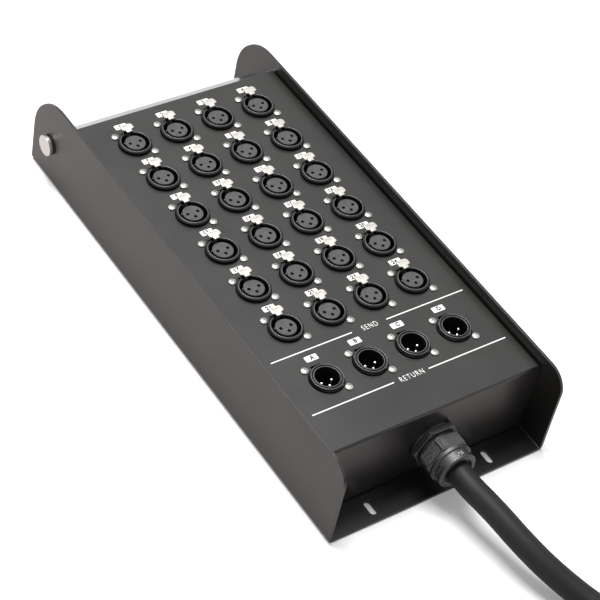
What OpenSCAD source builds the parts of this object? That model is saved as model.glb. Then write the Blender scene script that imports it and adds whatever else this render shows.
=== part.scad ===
// Stage box snake: a folded steel box with 24 latching send sockets, 4 return plugs, a carry bar
// and a multicore cable. Millimetres, +Z up, +Y towards the carry bar, origin on the ground at the
// middle of the tray.

/* [Tray] */
// Width over the two side plates
tray_w = 179; // [165:1:240]
// Length of the tray
tray_l = 400; // [385:1:520]
// Height of the side plates
side_h = 72; // [60:1:100]
// Thickness of the folded steel
sheet_t = 2; // [1.5:0.1:2.5]
// Inner radius of the tray's folds
tray_bend_r = 1; // [0.5:0.1:3]
// Radius of a side plate's front top corner
front_corner_r = 16; // [5:1:30]
// Radius of a side plate's rear top corner
rear_corner_r = 37.5; // [10:0.5:45]
// Length of a slot in the open shelves
slot_l = 11.5; // [7:0.5:14]
// Width of a slot in the open shelves
slot_w = 5; // [3:0.5:8]
// Distance between the two slots of a shelf
slot_pitch = 98; // [60:1:140]
// Distance from a slot's centre to the tray's end
slot_inset = 10.7; // [9:0.1:12]

/* [Cover] */
// Height of the connector panel's top face
panel_top = 64; // [62:1:90]
// Clearance between the cover and each side plate
cover_gap = 0.3; // [0.2:0.1:1]
// Inner radius of the cover's folds
cover_bend_r = 0.6; // [0.3:0.1:2]
// Depth of the open shelf in front of the front wall
front_shelf = 22.5; // [20:0.5:36]
// Depth of the handle bay behind the rear wall
handle_bay = 46.2; // [42:0.2:56]
// Height of the cover's side lips
lip_h = 12; // [6:1:20]
// Depth of the cover's foot flanges
foot_d = 18; // [14:1:22]
// Distance between the foot screws across the box
foot_screw_pitch = 60; // [40:1:70]
// Diameter of a foot screw
foot_screw_d = 4; // [3:0.5:5]

/* [Connector grid] */
// Number of connector columns
columns = 4; // [1:1:4]
// Number of send rows
send_rows = 6; // [1:1:6]
// Distance between columns
pitch_x = 35; // [32:0.5:37]
// Distance from the rear wall to the first send row
rear_margin = 31.8; // [26:0.2:34]
// Distance from the return row to the front wall
front_margin = 53; // [50:0.5:60]
// Distance from the last send row to the return row
return_gap = 49; // [40:1:52]

/* [Connectors] */
// Radius of a connector's nose
nose_r = 12; // [11.6:0.1:12.4]
// Height of a nose above the panel
nose_h = 2.75; // [2:0.25:4]
// Clearance round a nose in the panel
nose_gap = 0.35; // [0.2:0.05:0.5]
// Radius of a send connector's cavity
cavity_r = 10; // [9.7:0.1:10.3]
// Radius of a send connector's insert
insert_r = 7.4; // [7.1:0.1:7.9]
// Height of the rim above a send insert
insert_drop = 0.8; // [0.3:0.1:2]
// Radius of a return connector's cup
cup_r = 8.4; // [8.2:0.1:8.8]
// Depth of a return connector's cup
cup_depth = 16; // [14:0.5:18]
// Depth of a connector's shell below the panel
shell_depth = 22; // [20:0.5:26]
// Width of a mounting flange
flange_w = 26; // [25:0.5:28]
// Length of a mounting flange
flange_l = 31; // [30:0.5:33]
// Thickness of a mounting flange
flange_t = 2.2; // [1.8:0.1:3]
// Distance between a connector's two screws across the box
screw_pitch_x = 19; // [19:0.5:20]
// Distance between a connector's two screws along the box
screw_pitch_y = 24; // [24:0.5:25]
// Diameter of a contact pin
pin_d = 2.4; // [2:0.1:2.6]
// Distance from a connector's axis to each contact
contact_r = 4; // [3.8:0.1:4.2]
// Depth of the contacts below the panel
contact_depth = 30; // [29:0.5:32]

/* [Latches] */
// Width of a push tab
tab_w = 9.9; // [8.5:0.1:11]
// Length of a push tab
tab_l = 5.7; // [5:0.1:7]
// Height of a tab's top above the panel
tab_rise = 6; // [5:0.25:8]
// Thickness of a latch's metal
latch_t = 1.2; // [1:0.1:1.4]
// Width of a latch's stem
stem_w = 6; // [5:0.1:6.5]
// Clearance on each side of a latch's stem
stem_gap = 0.3; // [0.2:0.05:0.5]
// Depth of a latch's pivot below the panel
pivot_depth = 8; // [7:0.25:9]
// Radius of a latch's pivot pin
pivot_r = 0.8; // [0.6:0.1:1]
// Reach of a latch's hook into the cavity
hook_reach = 0.7; // [0.4:0.1:0.8]
// Angle that a latch is pressed through
latch_travel = 6; // [4:1:7]

/* [Connector screws] */
// Diameter of a connector screw
screw_d = 3; // [2.5:0.1:3]
// Diameter of a screw's pan head
screw_head_d = 5.4; // [5:0.1:5.8]
// Height of a screw's pan head
screw_head_h = 1.8; // [1.4:0.1:2.2]
// Thickness of a screw's nut
screw_nut_t = 2.4; // [2:0.1:3]

/* [Carry bar] */
// Diameter of the carry bar
bar_d = 15; // [12:0.5:18]
// Distance from the bar's axis to the tray's rear end
bar_inset = 23; // [20:0.5:26]
// Height of the bar's axis
bar_z = 32; // [26:1:38]
// Diameter of an end bolt's head
bolt_head_d = 16; // [12:0.5:18]
// Thickness of an end bolt's head
bolt_head_t = 2.6; // [2:0.1:4]
// Thickness of the washer under a bolt's head
washer_t = 1.4; // [1:0.1:2]
// Diameter of an end bolt's thread
bolt_d = 6; // [5:0.5:8]

/* [Cable gland] */
// Distance of the gland's axis from the middle of the front wall
gland_x = 3.5; // [-20:0.5:20]
// Height of the gland's axis
gland_z = 30; // [28:0.5:34]
// Radius of the gland's thread through the wall
thread_r = 14.1; // [13.8:0.1:14.4]
// Size across flats of the gland's body
body_af = 33; // [32:0.5:36]
// Thickness of the gland's sealing washer
seal_washer_t = 1; // [0.8:0.1:2]
// Thickness of the gland body's hexagon
body_t = 5; // [4:0.5:7]
// Gap between the body's hexagon and the dome nut
neck_gap = 3; // [2:0.5:5]
// Size across flats of the dome nut
nut_af = 30.3; // [30:0.1:32]
// Length of the dome nut's hexagon
nut_hex_l = 12.5; // [11:0.5:14]
// Length of the dome nut's nose
nut_nose_l = 8; // [7:0.5:10]
// Radius of the dome nut's nose
nut_nose_r = 14.5; // [14:0.1:15]
// Thickness of the lock nut inside the wall
lock_nut_t = 6; // [5:0.5:7]

/* [Multicore cable] */
// Diameter of the multicore cable
cable_d = 17.5; // [16:0.1:17.6]
// Gap between neighbouring turns of the hank
turn_gap = 0.6; // [0.5:0.1:1]
// Thickness of a tie
tie_t = 1.5; // [1:0.1:1.9]
// Width of a tie
tie_w = 25; // [15:1:40]

/* [Trunk connector] */
// Length of the trunk connector's hood
hood_l = 84; // [76:1:96]
// Width of the trunk connector's hood
hood_w = 68; // [60:1:74]
// Thickness of the trunk connector's hood
hood_t = 43; // [40:1:48]
// Wall of the trunk connector's hood
hood_wall = 3; // [2:0.5:4]

/* [Hidden] */
$fn = 48;
eps = 0.01;
fit = 0.05;
send_count = columns * send_rows;
function latch_name(i) = str("latch_", i < 10 ? "0" : "", i);

// Colours of the finishes
steel_black = "#504e4c";
shell_black = "#1e1e1e";
nickel = "#cfcbc4";
bright_metal = "#c4c4c6";
insert_grey = "#6a686a";
nylon_black = "#1a1a1a";
cable_black = "#2a2a2b";

// Places along the box
front_wall_y = -tray_l / 2 + front_shelf;
rear_wall_y = tray_l / 2 - handle_bay;
cover_l = rear_wall_y - front_wall_y;
cover_w = tray_w - 2 * sheet_t - 2 * cover_gap;
panel_under = panel_top - sheet_t;
cover_top_r = cover_bend_r + sheet_t;
bar_y = tray_l / 2 - bar_inset;
return_y = front_wall_y + front_margin;
sends_l = cover_l - rear_margin - front_margin - return_gap;
pitch_y = sends_l / max(1, send_rows - 1);
function column_x(c) = (c - (columns - 1) / 2) * pitch_x;
function send_y(r) = rear_wall_y - rear_margin - r * pitch_y;
function send_x_of(i) = column_x((i - 1) % columns);
function send_y_of(i) = send_y(floor((i - 1) / columns));

// Heights inside a connector
rim_top = panel_top + nose_h;
flange_top = panel_under;
flange_under = flange_top - flange_t;
shell_wall = 1.4;
barrel_r = cavity_r + shell_wall;
shell_bottom = panel_top - shell_depth;
shell_floor_t = 2.5;
cavity_floor = shell_bottom + shell_floor_t;
spigot_r = contact_r + pin_d / 2 + 1.2;
spigot_bottom = shell_bottom - 2;
contact_bottom = panel_top - contact_depth;
contact_wall = 0.4;
contact_head_drop = 3.3;
solder_depth = 3;
cup_floor = rim_top - cup_depth;
male_seat = cup_floor - 4.5;
pin_tip_drop = 3.75;
flange_corner_r = 2;
rim_round = 0.5;

// Contacts of a send socket and pins of a return plug, round the connector's axis
send_contacts = [[-contact_r, 0.2], [contact_r, 0.2], [0, 0.2 - contact_r]];
return_contacts = [[-contact_r, -0.3], [contact_r, -0.3], [0, -0.2 - contact_r]];

// A latch in its channel
stem_front = cavity_r + 1.2;
stem_rear = stem_front + latch_t;
pivot_y = stem_front + latch_t / 2;
pivot_z = panel_top - pivot_depth;
pivot_boss_r = pivot_r + 0.9;
tab_top = panel_top + tab_rise;
tab_under = tab_top - latch_t;
tab_front = stem_front - 0.7;
tab_lobe_r = tab_l * 0.42;
tail_l = 4.5;
hook_w = 4;
hook_under = panel_top - 2;
hook_tip_h = 0.8;
hook_h = 3;
notch_rear = stem_rear + pivot_depth * sin(latch_travel) + 0.5;
notch_w = stem_w + 2 * stem_gap + 1.6;
channel_rear = pivot_y + pivot_boss_r + 0.7;
channel_w = stem_w + 2 * stem_gap;
channel_bottom = pivot_z - tail_l - 0.5;
cheek_t = 1.6;
spring_t = 0.3;
spring_w = 4;

// Screws and nuts
screw_clear = 0.2;
head_ball_r = (screw_head_d * screw_head_d / 4 + screw_head_h * screw_head_h / 4) / screw_head_h;
screw_nut_af = 5.5;
recess_turn = 20;
recess_depth = 0.8;
foot_nut_r = foot_screw_d / 2 + 2;
foot_nut_t = 3;
foot_head_r = foot_screw_d - 0.2;
foot_head_h = foot_head_r - foot_screw_d / 2;
flush = 0.1;
front_foot_y = front_wall_y + sheet_t + foot_d / 2;
rear_foot_y = rear_wall_y - sheet_t - foot_d / 2;

// The gland, measured outwards from the front wall
thread_fit = 0.2;
cable_hole_r = cable_d / 2 + 0.35;
neck_r = thread_r - 0.8;
body_top = seal_washer_t + body_t;
nut_start = body_top + neck_gap;
nut_hex_top = nut_start + nut_hex_l;
nose_end = nut_hex_top + nut_nose_l;
nose_bore_r = cable_d / 2 + 1.55;
shoulder_z = nut_hex_top + 0.5;
body_end = nut_start + 9;
collar_l = 2.5;
seal_front_z = nose_end - 2;
slot_depth = 2.3;
slot_floor_r = nut_nose_r - slot_depth;
crescent_start = nut_hex_top + 0.8;
crescent_l = 3;
flat_edge = 1.5;
flat_l = 6.5;
gland_turn = -2;
shank_l = 14;
jacket_end_l = 27.5;
bridge_from = 60;
bridge_to = 150;
front_end_y = front_wall_y - seal_front_z;

// The wiring inside the box
trunk_loom_r = 7;
branch_r = 3.3;
branch_z = contact_bottom - 8;
wire_r = 0.9;

// The put-away length: a flat-laid hank of long loops, wound clockwise in layers that run inwards
// and outwards by turns. A turn starts at the middle of the fold nearer to the box.
layers = 4;
layer_turns = 1.9;
fold_share = 0.235;
run_share = 0.5 - fold_share;
run_l = 15 * cable_d;
tie_gap = 0.5;
turn_pitch = cable_d + turn_gap;
inner_r = 54;
coil_r = inner_r + turn_pitch * (layer_turns + 0.25);
outer_r = coil_r + turn_pitch / 4;
coil_x = 14.7;
near_fold_y = -464;
far_fold_y = near_fold_y - run_l;
coil_z = cable_d / 2 + tie_gap + tie_t;
coil_top = coil_z + (layers - 1) * turn_pitch + cable_d / 2;
coil_turns = layers * layer_turns + (layers - 1) / 2;
start_angle = 41;
start_share = (90 - start_angle) / 180 * fold_share;
loop_rings = 36;
coil_sides = 6;
route_sides = 12;

function within(value, top) = max(0, min(top, value));
function smooth(s) = s * s * (3 - 2 * s);
wave = 2 * layer_turns + 1;
function turn_r(u) = inner_r + turn_pitch * abs((u - layer_turns - 0.25 + 1.5 * wave) % wave - wave / 2);
function climbed(u, k) = smooth(within((u - k * layer_turns - (k - 1) / 2) * 2, 1));
function turn_z(u) = coil_z + turn_pitch * (climbed(u, 1) + climbed(u, 2) + climbed(u, 3));
function fold_part(share) = within(share, fold_share / 2)
    + within(share - 0.5 + fold_share / 2, fold_share)
    + within(share - 1 + fold_share / 2, fold_share / 2);
function run_part(share) = within(share - fold_share / 2, run_share)
    - within(share - 0.5 - fold_share / 2, run_share);
function loop_point(share, r, z) = let (angle = 90 - 180 * fold_part(share) / fold_share)
    [coil_x + r * cos(angle), near_fold_y - run_l * run_part(share) / run_share + r * sin(angle), z];
function coil_point(u) = loop_point((start_share + u) % 1, turn_r(u), turn_z(u));

// The free stretch, from the gland's seal to the hank's straight entry
coil_start = coil_point(0);
entry_way = [sin(start_angle), -cos(start_angle), 0];
entry = coil_start - cable_d * entry_way;
cable_route = [
    [gland_x, front_end_y, gland_z],
    [gland_x, front_end_y - cable_d, gland_z],
    [5.5, -235, 29],
    [7.6, -249, 27.4],
    [9.6, -263, 25.2],
    [12.3, -276, 22.6],
    [16.4, -290, 19.2],
    [22.8, -307, 15.2],
    [29, -322, 12.6],
    [35.7, -336.5, coil_z + 0.8],
    [43.4, -350.5, coil_z + 0.3],
    [52.2, -363.8, coil_z + 0.1],
    entry - cable_d * entry_way,
    entry
];

// The last stretch: it climbs along the hank, turns back over the far fold and ends in the trunk
// connector, which lies on the hank
exit_way = [0, -1, 0];
coil_end = coil_point(coil_turns);
exit_point = coil_end + cable_d * exit_way;
hood_gap = 0.3;
hood_z = coil_top + hood_gap + hood_t / 2;
hood_turn = 90;
hood_way = [cos(hood_turn), sin(hood_turn), 0];
hood_entry = [-54, far_fold_y + 25, hood_z];
tail_start = exit_point + cable_d / 2 * exit_way;
function drop(share) = tail_start[1] + share * (far_fold_y - tail_start[1]);
function climb(share) = coil_end[2] + share * (hood_z - coil_end[2]);
tail_route = [
    exit_point,
    tail_start,
    [108.3, drop(0.1), climb(0.04)],
    [109.8, drop(0.23), climb(0.13)],
    [111.2, drop(0.36), climb(0.25)],
    [112, drop(0.5), climb(0.38)],
    [112, drop(0.63), climb(0.5)],
    [112, drop(0.76), climb(0.6)],
    [112, drop(0.88), climb(0.68)],
    [112, far_fold_y, climb(0.74)],
    [107.9, far_fold_y - 25.6, climb(0.79)],
    [96.1, far_fold_y - 48.8, climb(0.84)],
    [77.8, far_fold_y - 67.1, climb(0.88)],
    [54.6, far_fold_y - 78.9, climb(0.92)],
    [29, far_fold_y - 83, climb(0.95)],
    [3.4, far_fold_y - 78.9, climb(0.98)],
    [-19.8, far_fold_y - 67.1, climb(0.99)],
    [-38.1, far_fold_y - 48.8, hood_z],
    [-49.9, far_fold_y - 25.6, hood_z],
    [-54, far_fold_y, hood_z],
    hood_entry - cable_d * hood_way,
    hood_entry
];

// The ties round the hank's two sides: the way of each from the hank's middle line, and its place
tie_corner_r = 8;
tie_places = [[1, near_fold_y - 28], [-1, far_fold_y + 161]];
tie_floor = coil_z - cable_d / 2 - tie_gap - tie_t;
tie_lap = 1.2;

// The trunk connector, measured from its cable entry towards its mating face
trunk_nut_af = 30;
trunk_nut_l = 14;
trunk_hex_l = 6;
shoulder_l = 22;
hood_round_r = 5;
insert_inset = 4;
trunk_pins = [8, 3];
trunk_pin_pitch = 5.6;
trunk_row_pitch = 8.4;
peg_r = 3;
peg_h = 4;
peg_inset = 10;

function path_way(path, i) = let (
    ahead = path[min(i + 1, len(path) - 1)],
    back = path[max(i - 1, 0)]
) (ahead - back) / norm(ahead - back);

function ring(centre, way, r, sides) = let (
    side = cross(way, [0, 0, 1]) / norm(cross(way, [0, 0, 1])),
    up = cross(side, way)
) [for (k = [0:sides - 1]) centre + r * (cos(90 + 360 * k / sides) * side + sin(90 + 360 * k / sides) * up)];

// A closed tube of triangles swept along a path
module tube(path, d, sides) {
    last = len(path) - 1;
    base = last * sides;
    points = [for (i = [0:last]) each ring(path[i], path_way(path, i), d / 2, sides)];
    walls = [for (i = [0:last - 1], k = [0:sides - 1]) let (
        a = i * sides + k,
        b = i * sides + (k + 1) % sides
    ) each [[a, b, b + sides], [a, b + sides, a + sides]]];
    start_cap = [for (k = [1:sides - 2]) [0, k + 1, k]];
    end_cap = [for (k = [1:sides - 2]) [base, base + k, base + k + 1]];
    polyhedron(points, concat(walls, start_cap, end_cap));
}

function path_length(path) = let (steps = [for (i = [1:len(path) - 1]) norm(path[i] - path[i - 1])])
    steps * [for (s = steps) 1];

// A rectangle with its two bottom corners rounded, standing on the X axis
module folded_outline(w, h, r) {
    translate([-w / 2, r]) square([w, h - r]);
    translate([-w / 2 + r, 0]) square([w - 2 * r, h]);
    for (side = [-1, 1]) translate([side * (w / 2 - r), r]) circle(r);
}

// A rectangle with four rounded corners, from the origin
module rounded_box_outline(w, h, r) {
    translate([0, r]) square([w, h - 2 * r]);
    translate([r, 0]) square([w - 2 * r, h]);
    for (x = [r, w - r], y = [r, h - r]) translate([x, y]) circle(r);
}

// Extrudes an outline drawn in X and Z along Y, from y0 to y1
module along_y(y0, y1) {
    translate([0, y1, 0]) rotate([90, 0, 0]) linear_extrude(y1 - y0) children();
}

// Extrudes an outline drawn in Y and Z across X, centred
module across_x(w) {
    rotate([90, 0, 90]) translate([0, 0, -w / 2]) linear_extrude(w) children();
}

// Places its children at each send socket, return plug, or screw of a connector
module at_sends() {
    for (i = [1:send_count]) translate([send_x_of(i), send_y_of(i), 0]) children();
}
module at_returns() {
    for (c = [0:columns - 1]) translate([column_x(c), return_y, 0]) children();
}
module at_all_connectors() {
    at_sends() children();
    at_returns() children();
}
module at_screws() {
    for (side = [-1, 1]) translate([side * screw_pitch_x / 2, -side * screw_pitch_y / 2, 0]) children();
}
module at_foot_screws() {
    for (x = [-1:1], y = [front_foot_y, rear_foot_y]) translate([x * foot_screw_pitch, y, 0]) children();
}

// Outline of a side plate, in Y and Z
module side_outline() {
    half = tray_l / 2;
    low = side_h - max(front_corner_r, rear_corner_r);
    translate([-half, 0]) square([tray_l, low]);
    translate([-half, 0]) square([tray_l / 2, side_h - front_corner_r]);
    translate([-half + front_corner_r, 0]) square([tray_l - front_corner_r - rear_corner_r, side_h]);
    translate([-half + front_corner_r, side_h - front_corner_r]) circle(front_corner_r, $fn = 96);
    translate([0, 0]) square([half, side_h - rear_corner_r]);
    translate([half - rear_corner_r, side_h - rear_corner_r]) circle(rear_corner_r, $fn = 96);
}

module slot_outline() {
    for (end = [-1, 1]) translate([0, end * (slot_l - slot_w) / 2]) circle(slot_w / 2);
    square([slot_w, slot_l - slot_w], center = true);
}

module base_tray() {
    outer_r = tray_bend_r + sheet_t;
    color(steel_black) difference() {
        intersection() {
            across_x(tray_w) side_outline();
            along_y(-tray_l / 2, tray_l / 2) difference() {
                folded_outline(tray_w, side_h, outer_r);
                translate([0, sheet_t]) folded_outline(tray_w - 2 * sheet_t, side_h, tray_bend_r);
            }
        }
        for (x = [-1, 1], y = [-1, 1])
            translate([x * slot_pitch / 2, y * (tray_l / 2 - slot_inset), -eps])
                linear_extrude(sheet_t + 2 * eps) slot_outline();
        at_foot_screws() foot_screw_hole();
        translate([0, bar_y, bar_z]) rotate([0, 90, 0])
            cylinder(d = bolt_d + 2 * screw_clear, h = tray_w + 2, center = true);
    }
}

// A countersunk clearance hole, open at the ground
module foot_screw_hole() {
    translate([0, 0, -eps]) {
        cylinder(d = foot_screw_d + 2 * screw_clear, h = 3 * sheet_t);
        cylinder(r1 = foot_head_r + fit, r2 = foot_screw_d / 2 + fit, h = foot_head_h + fit);
    }
}

// The folded sheet of the cover, seen from the side: panel, two walls and two foot flanges
module cover_side_outline() {
    h = panel_top - sheet_t;
    difference() {
        rounded_box_outline(cover_l, h, cover_top_r);
        translate([sheet_t, sheet_t])
            rounded_box_outline(cover_l - 2 * sheet_t, h - 2 * sheet_t, cover_bend_r);
        translate([sheet_t + foot_d, -eps]) square([cover_l - 2 * (sheet_t + foot_d), 2 * sheet_t]);
    }
}

// The same cover seen from the front, upside down: its outline, rounded at the top folds
module cover_front_outline(w, h, r) {
    translate([0, panel_top]) mirror([0, 1]) folded_outline(w, h, r);
}

module panel_hole() {
    cylinder(r = nose_r + nose_gap, h = 2 * sheet_t);
    translate([-notch_w / 2, 0, 0]) cube([notch_w, notch_rear, 2 * sheet_t]);
    at_screws() screw_clearance();
}

module top_cover() {
    color(steel_black) difference() {
        union() {
            intersection() {
                translate([0, front_wall_y, sheet_t]) across_x(cover_w) cover_side_outline();
                along_y(front_wall_y, rear_wall_y) cover_front_outline(cover_w, panel_top, cover_top_r);
            }
            along_y(front_wall_y + sheet_t / 2, rear_wall_y - sheet_t / 2) difference() {
                cover_front_outline(cover_w, lip_h, cover_top_r);
                translate([0, -sheet_t]) cover_front_outline(cover_w - 2 * sheet_t, lip_h, cover_bend_r);
            }
        }
        translate([0, 0, panel_top - 1.5 * sheet_t]) at_all_connectors() panel_hole();
        at_gland() translate([0, 0, -2 * sheet_t]) cylinder(r = thread_r + thread_fit, h = 3 * sheet_t);
        at_foot_screws() translate([0, 0, sheet_t / 2]) cylinder(d = foot_screw_d, h = 2 * sheet_t);
        for (side = [-1, 1]) translate([side * cover_w / 2, (front_wall_y + rear_wall_y) / 2, sheet_t])
            cube([2 * tray_bend_r, cover_l + 2, 2 * tray_bend_r], center = true);
    }
}

module cover_screws() {
    color(nickel) at_foot_screws() difference() {
        translate([0, 0, flush]) {
            cylinder(r1 = foot_head_r - flush, r2 = foot_screw_d / 2, h = foot_head_h - flush);
            cylinder(d = foot_screw_d, h = 2 * sheet_t + foot_nut_t - flush);
        }
        translate([0, 0, flush]) cross_recess(foot_head_r);
    }
}

module cover_nuts() {
    color(nickel) at_foot_screws() translate([0, 0, 2 * sheet_t]) difference() {
        cylinder(r = foot_nut_r, h = foot_nut_t);
        translate([0, 0, -eps]) cylinder(d = foot_screw_d, h = foot_nut_t + 2 * eps);
    }
}

module at_bar_ends() {
    for (side = [0, 1]) mirror([side, 0, 0])
        translate([tray_w / 2, bar_y, bar_z]) rotate([0, 90, 0]) children();
}

module handle_bar() {
    color(bright_metal) difference() {
        translate([0, bar_y, bar_z]) rotate([0, 90, 0])
            cylinder(d = bar_d, h = tray_w - 2 * sheet_t, center = true);
        at_bar_ends() translate([0, 0, -sheet_t - 3 * bolt_d]) cylinder(d = bolt_d, h = 4 * bolt_d);
    }
}

module handle_bolts() {
    edge = 0.4;
    thread_l = sheet_t + 2.5 * bolt_d;
    color(bright_metal) at_bar_ends() {
        translate([0, 0, washer_t]) cylinder(d = bolt_head_d, h = bolt_head_t - edge);
        translate([0, 0, washer_t + bolt_head_t - edge])
            cylinder(d1 = bolt_head_d, d2 = bolt_head_d - 2 * edge, h = edge);
        translate([0, 0, -thread_l]) cylinder(d = bolt_d, h = thread_l + washer_t + eps);
    }
}

module handle_washers() {
    color(nylon_black) at_bar_ends() difference() {
        cylinder(d = bolt_head_d - 1, h = washer_t);
        translate([0, 0, -eps]) cylinder(d = bolt_d + 2 * fit, h = washer_t + 2 * eps);
    }
}

module screw_clearance() {
    cylinder(d = screw_d + 2 * screw_clear, h = 2 * flange_t);
}

// A bar along a latch's pivot axis
module pivot_bar(r, l) {
    translate([0, pivot_y, pivot_z]) rotate([0, 90, 0]) cylinder(r = r, h = l, center = true);
}

// Cut that leaves a clear way for a latch through a shell, open at the rim
module latch_channel() {
    translate([-channel_w / 2, insert_r + 0.6, channel_bottom])
        cube([channel_w, channel_rear - insert_r - 0.6, rim_top - channel_bottom + 1]);
}

module flange_plate() {
    translate([-flange_w / 2, -flange_l / 2, flange_under])
        linear_extrude(flange_t) rounded_box_outline(flange_w, flange_l, flange_corner_r);
}

module female_shell() {
    block_h = flange_under - channel_bottom + cheek_t;
    difference() {
        union() {
            rotate_extrude() polygon([
                [spigot_r + fit, shell_bottom],
                [barrel_r, shell_bottom],
                [barrel_r, flange_under],
                [nose_r, flange_under],
                [nose_r, rim_top - rim_round],
                [nose_r - rim_round, rim_top],
                [cavity_r + rim_round, rim_top],
                [cavity_r, rim_top - 2 * rim_round],
                [cavity_r, cavity_floor],
                [spigot_r + fit, cavity_floor]
            ]);
            difference() {
                union() {
                    flange_plate();
                    translate([-channel_w / 2 - cheek_t, 0, channel_bottom - cheek_t])
                        cube([channel_w + 2 * cheek_t, channel_rear + cheek_t / 2, block_h]);
                }
                translate([0, 0, shell_bottom]) cylinder(r = cavity_r + eps, h = shell_depth);
            }
        }
        latch_channel();
        pivot_bar(pivot_r, flange_w);
        translate([0, 0, flange_under - eps]) at_screws() screw_clearance();
    }
}

module female_shells() {
    color(shell_black) at_sends() female_shell();
}

module female_inserts() {
    top = rim_top - insert_drop;
    color(insert_grey) at_sends() difference() {
        union() {
            translate([0, 0, cavity_floor]) cylinder(r = insert_r, h = top - cavity_floor - 0.3);
            translate([0, 0, top - 0.3]) cylinder(r1 = insert_r, r2 = insert_r - 0.3, h = 0.3);
            translate([0, 0, spigot_bottom]) cylinder(r = spigot_r, h = cavity_floor - spigot_bottom + eps);
        }
        for (p = send_contacts) translate([p[0], p[1], 0]) {
            translate([0, 0, spigot_bottom - eps])
                cylinder(d = pin_d + 2 * contact_wall, h = top - contact_head_drop - spigot_bottom);
            translate([0, 0, shell_bottom]) cylinder(d = pin_d + 0.1, h = shell_depth + nose_h);
        }
    }
}

module female_contacts() {
    top = rim_top - insert_drop - contact_head_drop;
    socket_depth = 14;
    color(bright_metal) at_sends() for (p = send_contacts) translate([p[0], p[1], 0]) difference() {
        translate([0, 0, contact_bottom])
            cylinder(d = pin_d + 2 * contact_wall, h = top - contact_bottom - eps);
        translate([0, 0, top - socket_depth]) cylinder(d = pin_d, h = socket_depth + 1);
        solder_cup();
    }
}

// The hole in the foot of a contact or pin that takes its wire
module solder_cup() {
    translate([0, 0, contact_bottom - eps]) cylinder(r = wire_r, h = solder_depth);
}

// A push tab from above: a middle block between two round lobes
module tab_outline() {
    lobe_x = tab_w / 2 - tab_lobe_r;
    translate([-lobe_x, 0]) square([2 * lobe_x, tab_l]);
    for (side = [-1, 1]) translate([side * lobe_x, tab_l * 0.54]) circle(tab_lobe_r);
}

module latch(i) {
    color(nickel) translate([send_x_of(i), send_y_of(i), 0]) difference() {
        union() {
            translate([0, tab_front, tab_under]) linear_extrude(latch_t) tab_outline();
            across_x(stem_w) {
                translate([stem_front, pivot_z - tail_l])
                    square([latch_t, tab_under - pivot_z + tail_l + eps]);
                translate([pivot_y, pivot_z]) circle(pivot_boss_r);
            }
            across_x(hook_w) polygon([
                [stem_front + eps, hook_under],
                [cavity_r - hook_reach, hook_under],
                [cavity_r - hook_reach, hook_under + hook_tip_h],
                [stem_front + eps, hook_under + hook_h]
            ]);
        }
        pivot_bar(pivot_r + fit, flange_w);
    }
}

module latch_pins() {
    color(bright_metal) at_sends() pivot_bar(pivot_r, channel_w + 2 * cheek_t);
}

// A leaf that stands at the back of the channel and leans towards the stem
module latch_springs() {
    lean_z = pivot_z + 1;
    tip_y = stem_rear + (flange_top - pivot_z) * sin(latch_travel) + 0.2;
    color(bright_metal) at_sends() across_x(spring_w) polygon([
        [channel_rear, channel_bottom],
        [channel_rear, lean_z],
        [tip_y + spring_t, flange_top],
        [tip_y, flange_top],
        [channel_rear - spring_t, lean_z],
        [channel_rear - spring_t, channel_bottom]
    ]);
}

module male_shell() {
    groove_in = cup_r + 1.1;
    groove_out = nose_r - 1.8;
    groove_depth = 0.9;
    difference() {
        union() {
            rotate_extrude() polygon([
                [spigot_r + fit, shell_bottom],
                [barrel_r, shell_bottom],
                [barrel_r, flange_under],
                [nose_r, flange_under],
                [nose_r, panel_top + groove_depth],
                [nose_r - 0.8, rim_top],
                [groove_out, rim_top],
                [groove_out, rim_top - groove_depth],
                [groove_in, rim_top - groove_depth],
                [groove_in, rim_top],
                [cup_r + 0.3, rim_top],
                [cup_r, rim_top - 0.3],
                [cup_r, male_seat],
                [spigot_r + fit, male_seat]
            ]);
            difference() {
                flange_plate();
                translate([0, 0, shell_bottom]) cylinder(r = barrel_r - 0.5, h = shell_depth);
            }
        }
        translate([0, 0, flange_under - eps]) at_screws() screw_clearance();
    }
}

module male_shells() {
    color(shell_black) at_returns() male_shell();
}

module male_inserts() {
    color(nylon_black) at_returns() difference() {
        union() {
            translate([0, 0, male_seat]) cylinder(r = cup_r - fit, h = cup_floor - male_seat);
            translate([0, 0, spigot_bottom]) cylinder(r = spigot_r, h = male_seat - spigot_bottom + eps);
        }
        for (p = return_contacts) translate([p[0], p[1], shell_bottom - shell_floor_t])
            cylinder(d = pin_d, h = shell_depth);
    }
}

module male_pins() {
    shaft_top = rim_top - pin_tip_drop - pin_d / 2;
    color(bright_metal) at_returns() for (p = return_contacts) translate([p[0], p[1], 0]) difference() {
        union() {
            translate([0, 0, contact_bottom]) cylinder(d = pin_d, h = shaft_top - contact_bottom);
            translate([0, 0, shaft_top]) sphere(d = pin_d);
        }
        solder_cup();
    }
}

// A cross recess cut upwards and downwards from the origin's plane
module cross_recess(r) {
    for (turn = [recess_turn, recess_turn + 90]) rotate(turn)
        cube([1.1 * r, 0.32 * r, 2 * recess_depth], center = true);
}

module connector_screw() {
    nut_under = flange_under - screw_nut_t;
    translate([0, 0, panel_top]) difference() {
        intersection() {
            cylinder(d = screw_head_d, h = screw_head_h);
            translate([0, 0, screw_head_h - head_ball_r]) sphere(head_ball_r, $fn = 64);
        }
        translate([0, 0, screw_head_h]) cross_recess(screw_head_d / 2);
    }
    translate([0, 0, nut_under]) cylinder(d = screw_d, h = panel_top - nut_under + eps);
}

module connector_screws() {
    color(nickel) at_all_connectors() at_screws() connector_screw();
}

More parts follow.
